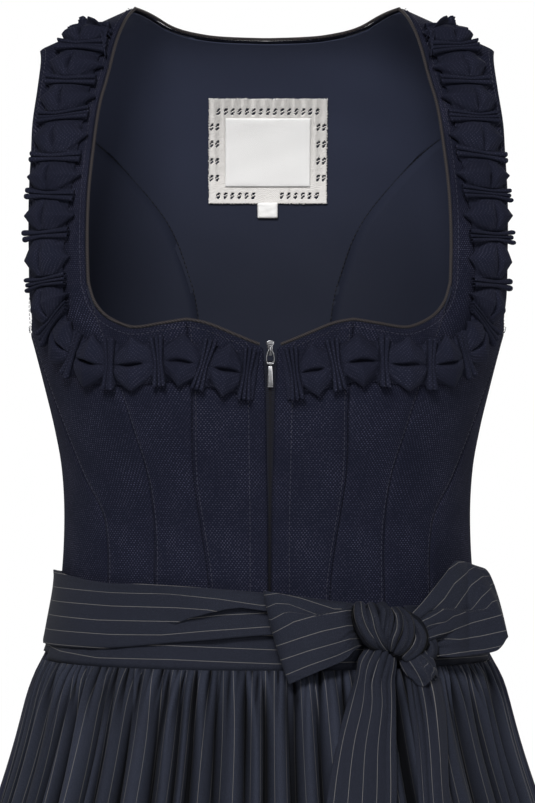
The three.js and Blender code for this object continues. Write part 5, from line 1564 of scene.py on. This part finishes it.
LEFT_PLEAT = [(250, 606), (289, 609), (312, 611.9), (329, 608.1), (346, 604.3), (360, 600)]
LEFT_UPPER = [[(262, 592.1), (276, 590), (298, 595), (331, 605.7)],
              [(263.6, 604.3), (273.6, 600), (286, 600.7), (312, 610.4), (340, 622)],
              [(266, 617.9), (276, 611.4), (290, 608.6), (320, 618)],
              [(269, 630), (280, 622), (300, 616)]]
LEFT_LOWER = [[(269, 630), (291, 617.9), (312, 612.1), (343.6, 607.1)],
              [(270.7, 642.9), (298, 633.6), (319, 627.1), (343.6, 622)],
              [(273.6, 657), (305, 646.4), (346, 635)],
              [(281, 670.7), (305, 660.7), (334, 650.7), (354, 642)]]
left_points, left_place = ribbon("left", [
    ((356, 606), (356, 622), (356, 640), (3.0, 2.6, 2.6)),
    ((330, 601), (334, 628), (338, 652), (2.2, 1.6, 2.0)),
    ((300, 596), (306, 630), (318, 662), (2.0, 1.6, 2.0)),
    ((275, 592), (283, 634), (298, 672), (3.0, 3.0, 3.0)),
    ((261, 588), (271, 633), (286, 679), (6.5, 7.5, 6.5)),
    ((270, 589), (279, 635), (293, 676), (11.5, 14.0, 11.0)),
    ((296, 594), (302, 636), (314, 667), (13.0, 17.5, 13.0)),
    ((326, 600), (330, 632), (340, 656), (13.5, 17.5, 13.5)),
    ((343, 601), (345, 625), (350, 647), (12.5, 14.5, 12.5)),
    ((354, 602), (356, 622), (359, 642), (1.5, 1.5, 1.5)),
], both_ends, 5, rows=120, columns=76, wrinkle=0.5)
left_column, left_row = photo_place(left_points)
in_front = np.arange(len(left_points))[:, None] >= 55
left_step = fold_step(left_column, left_row, LEFT_PLEAT, (325, 278))
left_points[..., 1] += np.where(in_front, (1 - left_step) * 4.2 * smooth(280, 330, left_column), 0)
left_counts = np.where(left_row < np.interp(left_column, *np.array(LEFT_PLEAT, float).T),
                       stripe_count(left_column, left_row, LEFT_UPPER),
                       stripe_count(left_column, left_row, LEFT_LOWER) + 3)
left_place = stripes_as_seen(left_points, left_place, left_counts, in_front)
bow_piece("bow_left_loop", "bow_loop_left", [(left_points, left_place)])

RIGHT_PLEAT = [(404, 617.9), (413, 620.7), (426, 610.7), (439, 607), (462, 609.6), (484, 608.6), (500, 606)]
RIGHT_CREASE = [(404, 646), (423.6, 637.9), (435, 632.9), (445, 628.6), (460, 626)]
RIGHT_UPPER = [[(405, 616.4), (419, 600.7), (433.6, 582), (445, 567.9), (455, 561.4)],
               [(405, 634), (428.6, 607.9), (440.7, 596.4), (450.7, 582), (466.4, 569.3), (480, 563)],
               [(420, 640), (450.7, 607), (460.7, 593.6), (469, 583.6), (479, 576.4), (492, 572)],
               [(440, 640), (468.6, 607.9), (477.9, 596.4), (490.7, 585), (500, 580)],
               [(460, 630), (482, 607.9), (489, 600.7), (496.4, 598.6), (503, 596)]]
RIGHT_LOWER = [[(416, 620), (426.4, 615), (439, 607.9), (470, 596)],
               [(415, 627.9), (425, 622), (442, 618.6), (449, 613.6), (463.6, 610), (496, 598.6)],
               [(423.6, 635), (446.4, 627.9), (469, 620.7), (501, 612.9)],
               [(430, 640), (435, 636.4), (455, 637), (476, 634.3), (505, 628.6)],
               [(430, 654), (455, 650), (480, 648), (507, 642)]]
right_points, right_place = ribbon("right", [
    ((404, 621), (408, 634), (414, 648), (1.2, 1.2, 1.2)),
    ((430, 601), (444, 622), (455, 645), (1.4, 1.4, 1.4)),
    ((462, 580), (474, 604), (484, 640), (2.0, 2.0, 2.0)),
    ((484, 571), (492, 590), (502, 634), (3.4, 3.6, 3.4)),
    ((472, 565), (491, 592), (504, 635), (6.4, 7.0, 6.4)),
    ((454, 560), (486, 594), (503, 637), (9.0, 11.0, 9.6)),
    ((447, 566), (474, 602), (494, 648), (10.0, 13.5, 11.0)),
    ((433, 583), (456, 614), (473, 652), (10.5, 14.5, 11.5)),
    ((418, 601), (434, 624), (447, 654), (10.0, 14.0, 11.0)),
    ((402, 618), (409, 634), (416, 652), (7.0, 9.0, 7.0)),
], both_ends, 9, rows=110, columns=88, pleats=4, wrinkle=0.7)
right_column, right_row = photo_place(right_points)
in_front = np.arange(len(right_points))[:, None] >= 50
raised = 4.0 * fold_step(right_column, right_row, RIGHT_PLEAT, (452, 494)) \
    - 6.5 * fold_step(right_column, right_row, RIGHT_CREASE, (428, 458)) + 3.0 * smooth(645, 655, right_row)
right_points[..., 1] -= np.where(in_front, raised, 0)
right_counts = np.where(right_row < np.interp(right_column, *np.array(RIGHT_PLEAT, float).T),
                        stripe_count(right_column, right_row, RIGHT_UPPER),
                        stripe_count(right_column, right_row, RIGHT_LOWER) + 3)
right_place = stripes_as_seen(right_points, right_place, right_counts, in_front)
bow_piece("bow_right_loop", "bow_loop_right", [(right_points, right_place)])

from_top = lambda u: u
left_tail = ribbon("left_tail", [
    ((366, 641), (379, 646), (393, 648), (5.0, 8.0, 5.0)),
    ((356, 655), (372, 662), (393, 660), (4.0, 8.5, 4.0)),
    ((353, 672), (368, 678), (391, 676), (2.4, 7.0, 3.0)),
    ((343, 700), (367, 702), (391, 700), (1.6, 5.0, 2.0)),
    ((332, 740), (360, 742), (391, 740), (1.6, 4.4, 1.8)),
    ((322, 795), (356, 797), (391, 795), (1.6, 4.2, 1.8)),
    ((312, 900), (348, 905), (386, 902), (1.8, 4.5, 2.0)),
    ((306, 1010), (342, 1020), (382, 1016), (1.8, 4.5, 2.0)),
    ((299, 1278), (336, 1260), (377, 1242), (2.0, 4.5, 2.0)),
], from_top, 21, rows=120, columns=40, pleats=4, wrinkle=1.3, width=44)
bow_piece("bow_left_tail", "tie_tail_left", [left_tail])
right_tail = ribbon("right_tail", [
    ((396, 650), (412, 652), (424, 652), (5.0, 6.0, 5.0)),
    ((402, 672), (418, 676), (436, 674), (2.4, 6.0, 3.0)),
    ((405, 700), (423, 702), (440, 700), (1.6, 4.6, 2.0)),
    ((410, 740), (427, 742), (442, 740), (1.6, 4.2, 1.8)),
    ((413, 796), (430, 797), (444, 795), (1.6, 4.2, 1.8)),
    ((419, 900), (439, 905), (460, 902), (1.8, 4.5, 2.0)),
    ((422, 1010), (448, 1020), (478, 1016), (1.8, 4.5, 2.0)),
    ((424, 1210), (458, 1226), (494, 1242), (2.0, 4.5, 2.0)),
], from_top, 27, rows=120, columns=36, pleats=3, wrinkle=1.3, width=31)
bow_piece("bow_right_tail", "tie_tail_right", [right_tail])

# Knot: the tie wound once round both loops and pulled tight, a crumpled roll that runs down to the right with
# deep creases where it is gripped, its end coming out below as a folded cuff.
KNOT = np.array([(52, -384, 5), (58, -387, 13), (68, -393, 17.5), (79, -400, 18.5), (90, -407, 17), (99, -413, 13),
                 (105, -417, 6)], float)
KNOT_FLATTEN, KNOT_STANDOFF = 0.72, 1.9


def sharp_ridges(turns, power=0.75):
    """Rounded ridges with narrow valleys, from 0 in a valley to 1."""
    return np.abs(np.sin(turns)) ** power


def knot_roll(rings, sides):
    """The core: three turns of crumpled ribbon side by side, slanted, with a deep grip between them."""
    share = np.linspace(0, 1, rings + 1)
    row = read_rows(KNOT, share * (len(KNOT) - 1))
    x, z, radius = row[:, 0] - 2, row[:, 1] + 1.2, row[:, 2] * 0.66
    centre = np.stack([x, front_layer(x, z, 0) - (radius * KNOT_FLATTEN + KNOT_STANDOFF), z], axis=-1)
    along = unit(np.gradient(centre, axis=0))
    outward = unit(-np.cross(np.cross(np.array([0.35, -1, 0]), along), along))
    upward = unit(np.cross(along, outward))
    theta = np.linspace(0, 2 * math.pi, sides, endpoint=False)[None, :]
    s = share[:, None]
    slanted = s + 0.13 * np.sin(theta) + 0.03 * np.sin(2 * theta + 1) + 0.015 * np.sin(5 * theta)
    turns = np.zeros((rings + 1, sides))
    for middle, half, tall, ridges, phase in (
        (0.16, 0.13, 0.30, 2.0, 0.2), (0.35, 0.14, 0.42, 3.0, 1.1), (0.53, 0.11, 0.34, 2.0, 2.0),
        (0.70, 0.12, 0.40, 3.0, 0.5), (0.90, 0.13, 0.34, 2.0, 1.4),
    ):
        v = (slanted - middle) / half
        arch = np.sqrt(np.clip(1 - v * v, 0, 1))
        folds = sharp_ridges(ridges * math.pi * 0.5 * (v + 1) + phase + 0.5 * np.sin(theta * 2 + phase), 0.6)
        turns = np.maximum(turns, tall * arch * (0.70 + 0.42 * folds))
    crumple = 0.05 * np.sin(9 * theta + 14 * s) * np.sin(21 * s - 2 * theta) + 0.03 * np.sin(17 * theta - 31 * s)
    shape = 0.66 + turns + crumple - 0.10 * dent(slanted, 0.62, 0.03)
    ring = radius[:, None] * np.minimum(shape, 1.16)
    points = centre[:, None] + outward[:, None] * (ring * KNOT_FLATTEN * 1.04 * np.cos(theta))[..., None] \
        + upward[:, None] * (ring * np.sin(theta))[..., None]
    run = run_along(centre)
    place = np.stack([slanted * run[-1] * 2.1, ring * np.unwrap(np.broadcast_to(theta, ring.shape), axis=1)],
                     axis=-1) * MM
    return points, place


def cuff_roll(rings, sides):
    """The tie's end below the knot: a soft folded tube, open and dark at its end."""
    path = np.array([(*seen_at(402, 644), 5.0), (*seen_at(408, 652), 8.6), (*seen_at(414, 661), 10.2),
                     (*seen_at(419, 669), 9.4), (*seen_at(423, 678), 7.4)], float)
    share = np.linspace(0, 1, rings + 1)
    row = read_rows(path, share * (len(path) - 1))
    x, z, radius = row[:, 0], row[:, 1], row[:, 2]
    centre = np.stack([x, front_layer(x, z, 0) - (radius * 0.62 + 4.2), z], axis=-1)
    along = unit(np.gradient(centre, axis=0))
    outward = unit(-np.cross(np.cross(np.array([0.2, -1, 0]), along), along))
    upward = unit(np.cross(along, outward))
    theta = np.linspace(0, 2 * math.pi, sides, endpoint=False)[None, :]
    s = share[:, None]
    folds = sharp_ridges(2 * theta + 1.2 + 1.1 * s, 0.8) * (1 - 0.4 * s)
    shape = 0.84 + 0.20 * folds + 0.05 * np.sin(7 * theta + 9 * s) + 0.08 * dent(s, 0.92, 0.1)
    ring = radius[:, None] * shape
    points = centre[:, None] + outward[:, None] * (ring * 0.62 * np.cos(theta))[..., None] \
        + upward[:, None] * (ring * np.sin(theta))[..., None]
    points += along[:, None] * (1.8 * np.sin(theta * 2 + 0.6) * s)[..., None]
    run = run_along(centre)
    place = np.stack([ring * theta, np.broadcast_to(run[:, None], ring.shape)], axis=-1) * MM
    return points, place


def closed_roll(name, points, place, painted_shade=0.0, open_end=False):
    """A closed skin from rings of points, with painted shade: the last column meets the first, and the ends are capped
    unless open.
    """
    rings, sides = points.shape[:2]
    mesh = bpy.data.meshes.new(name)
    at = np.arange(rings * sides).reshape(rings, sides)
    nxt = np.roll(at, -1, axis=1)
    quads = np.stack([at[:-1], nxt[:-1], nxt[1:], at[1:]], axis=-1).reshape(-1, 4).tolist()
    faces = quads if open_end else quads + [at[0][::-1].tolist(), at[-1].tolist()]
    mesh.from_pydata((points.reshape(-1, 3) * MM).tolist(), [], faces)
    cloth = mesh.uv_layers.new(name="cloth")
    corner = np.zeros(len(mesh.loops), int)
    mesh.loops.foreach_get("vertex_index", corner)
    cloth.data.foreach_set("uv", place.reshape(-1, 2)[corner].ravel())
    painted_shade_layer = mesh.attributes.new("painted_shade", "FLOAT", "POINT")
    painted_shade_layer.data.foreach_set("value", np.broadcast_to(painted_shade, (rings, sides)).ravel())
    obj = bpy.data.objects.new(name, mesh)
    bpy.context.collection.objects.link(obj)
    pick(obj)
    bpy.ops.object.mode_set(mode="EDIT")
    bpy.ops.mesh.select_all(action="SELECT")
    bpy.ops.mesh.normals_make_consistent(inside=False)
    bpy.ops.object.mode_set(mode="OBJECT")
    obj.data.materials.append(shaded_band_cloth)
    bpy.ops.object.shade_smooth()
    return obj


def wrap_roll(stations, twist, rings=36, sides=28):
    """One turn of crumpled ribbon over the knot, with painted shade: stations give where it is seen, how far it stands
    and its size.
    """
    path = np.array([(*seen_at(column, row), lift, size) for column, row, lift, size in stations], float)
    share = np.linspace(0, 1, rings + 1)
    row = read_rows(path, share * (len(path) - 1))
    x, z, radius = row[:, 0], row[:, 1], row[:, 3]
    centre = np.stack([x, front_layer(x, z, 0) - row[:, 2], z], axis=-1)
    along = unit(np.gradient(centre, axis=0))
    outward = unit(-np.cross(np.cross(np.array([0, -1.0, 0]), along), along))
    upward = unit(np.cross(along, outward))
    theta = np.linspace(0, 2 * math.pi, sides, endpoint=False)[None, :]
    s = share[:, None]
    shape = 0.80 + 0.26 * sharp_ridges(2.5 * theta + twist + 1.4 * s, 0.6) \
        + 0.05 * np.sin(7 * theta + twist * 3 + 5 * s) * np.sin(9 * s + twist)
    ends = np.sqrt(np.clip(1 - np.abs(2 * share - 1) ** 6, 0, 1))[:, None]
    ring = radius[:, None] * shape * (0.25 + 0.75 * ends)
    points = centre[:, None] + outward[:, None] * (ring * 0.9 * np.cos(theta))[..., None] \
        + upward[:, None] * (ring * np.sin(theta))[..., None]
    run = run_along(centre)
    place = np.stack([radius.mean() * np.broadcast_to(theta, ring.shape) + 1.7 * twist,
                      np.broadcast_to(run[:, None], ring.shape)], axis=-1) * MM
    # Painted shade: darker where the turn faces sideways or away from the front, and in the valleys between its ridges.
    ridges = (shape - shape.min()) / (shape.max() - shape.min())
    painted_shade = 0.92 * np.clip(smooth(0.85, 0.1, np.cos(theta) + 0 * s) + 0.7 * (1 - ridges) ** 2, 0, 1)
    return points, place, painted_shade


KNOT_WRAPS = (
    ((356, 600, 9, 4.2), (357, 612, 15, 5.2), (361, 624, 16, 5.8), (368, 635, 14, 5.6), (378, 644, 8, 4.0)),
    ((366, 601, 10, 4.0), (370, 613, 17.5, 4.9), (373, 626, 18.5, 5.0), (378, 637, 15, 4.6), (384, 646, 8, 3.4)),
    ((376, 602, 9, 4.0), (380, 609, 18, 4.2), (379, 618, 20.5, 3.4), (378, 628, 19, 3.0), (382, 638, 13, 2.8)),
    ((384, 606, 11, 3.0), (386, 613, 20, 3.0), (385, 622, 21.5, 3.0), (383, 632, 19.5, 3.0), (386, 642, 12, 2.8)),
    ((389, 606, 10, 3.4), (393, 614, 19, 3.6), (393, 625, 21, 3.7), (389, 636, 19, 3.6), (387, 647, 11, 3.0)),
    ((393, 607, 9, 4.2), (401, 616, 18, 4.8), (403, 628, 20.5, 5.0), (399, 640, 18.5, 4.8), (391, 650, 10, 3.6)),
    ((400, 612, 8, 4.2), (411, 622, 15.5, 5.0), (416, 634, 18, 5.2), (411, 646, 17, 5.0), (399, 656, 10, 3.8)),
    ((410, 620, 6, 3.6), (421, 632, 12, 4.6), (427, 643, 14, 4.8), (424, 653, 14.5, 4.0), (408, 659, 11, 2.6)),
)
core_points, core_place = knot_roll(60, 44)
# Painted shade: the core under the wraps is darkened most of the way to black.
strips = [closed_roll("knot_core", core_points, core_place, 0.85)]
strips += [closed_roll(f"knot_wrap_{k}", *wrap_roll(stations, 1.9 * k)) for k, stations in enumerate(KNOT_WRAPS)]
cuff = closed_roll("knot_cuff", *cuff_roll(36, 48), open_end=True)
cuff_wall = cuff.modifiers.new("wall", "SOLIDIFY")
cuff_wall.thickness, cuff_wall.offset = 0.9 * MM, -1
pick(cuff)
bpy.ops.object.modifier_apply(modifier="wall")
knot = join_pieces("bow_knot_roll", strips + [cuff])
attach(knot, "dress")
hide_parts("bow_knot")
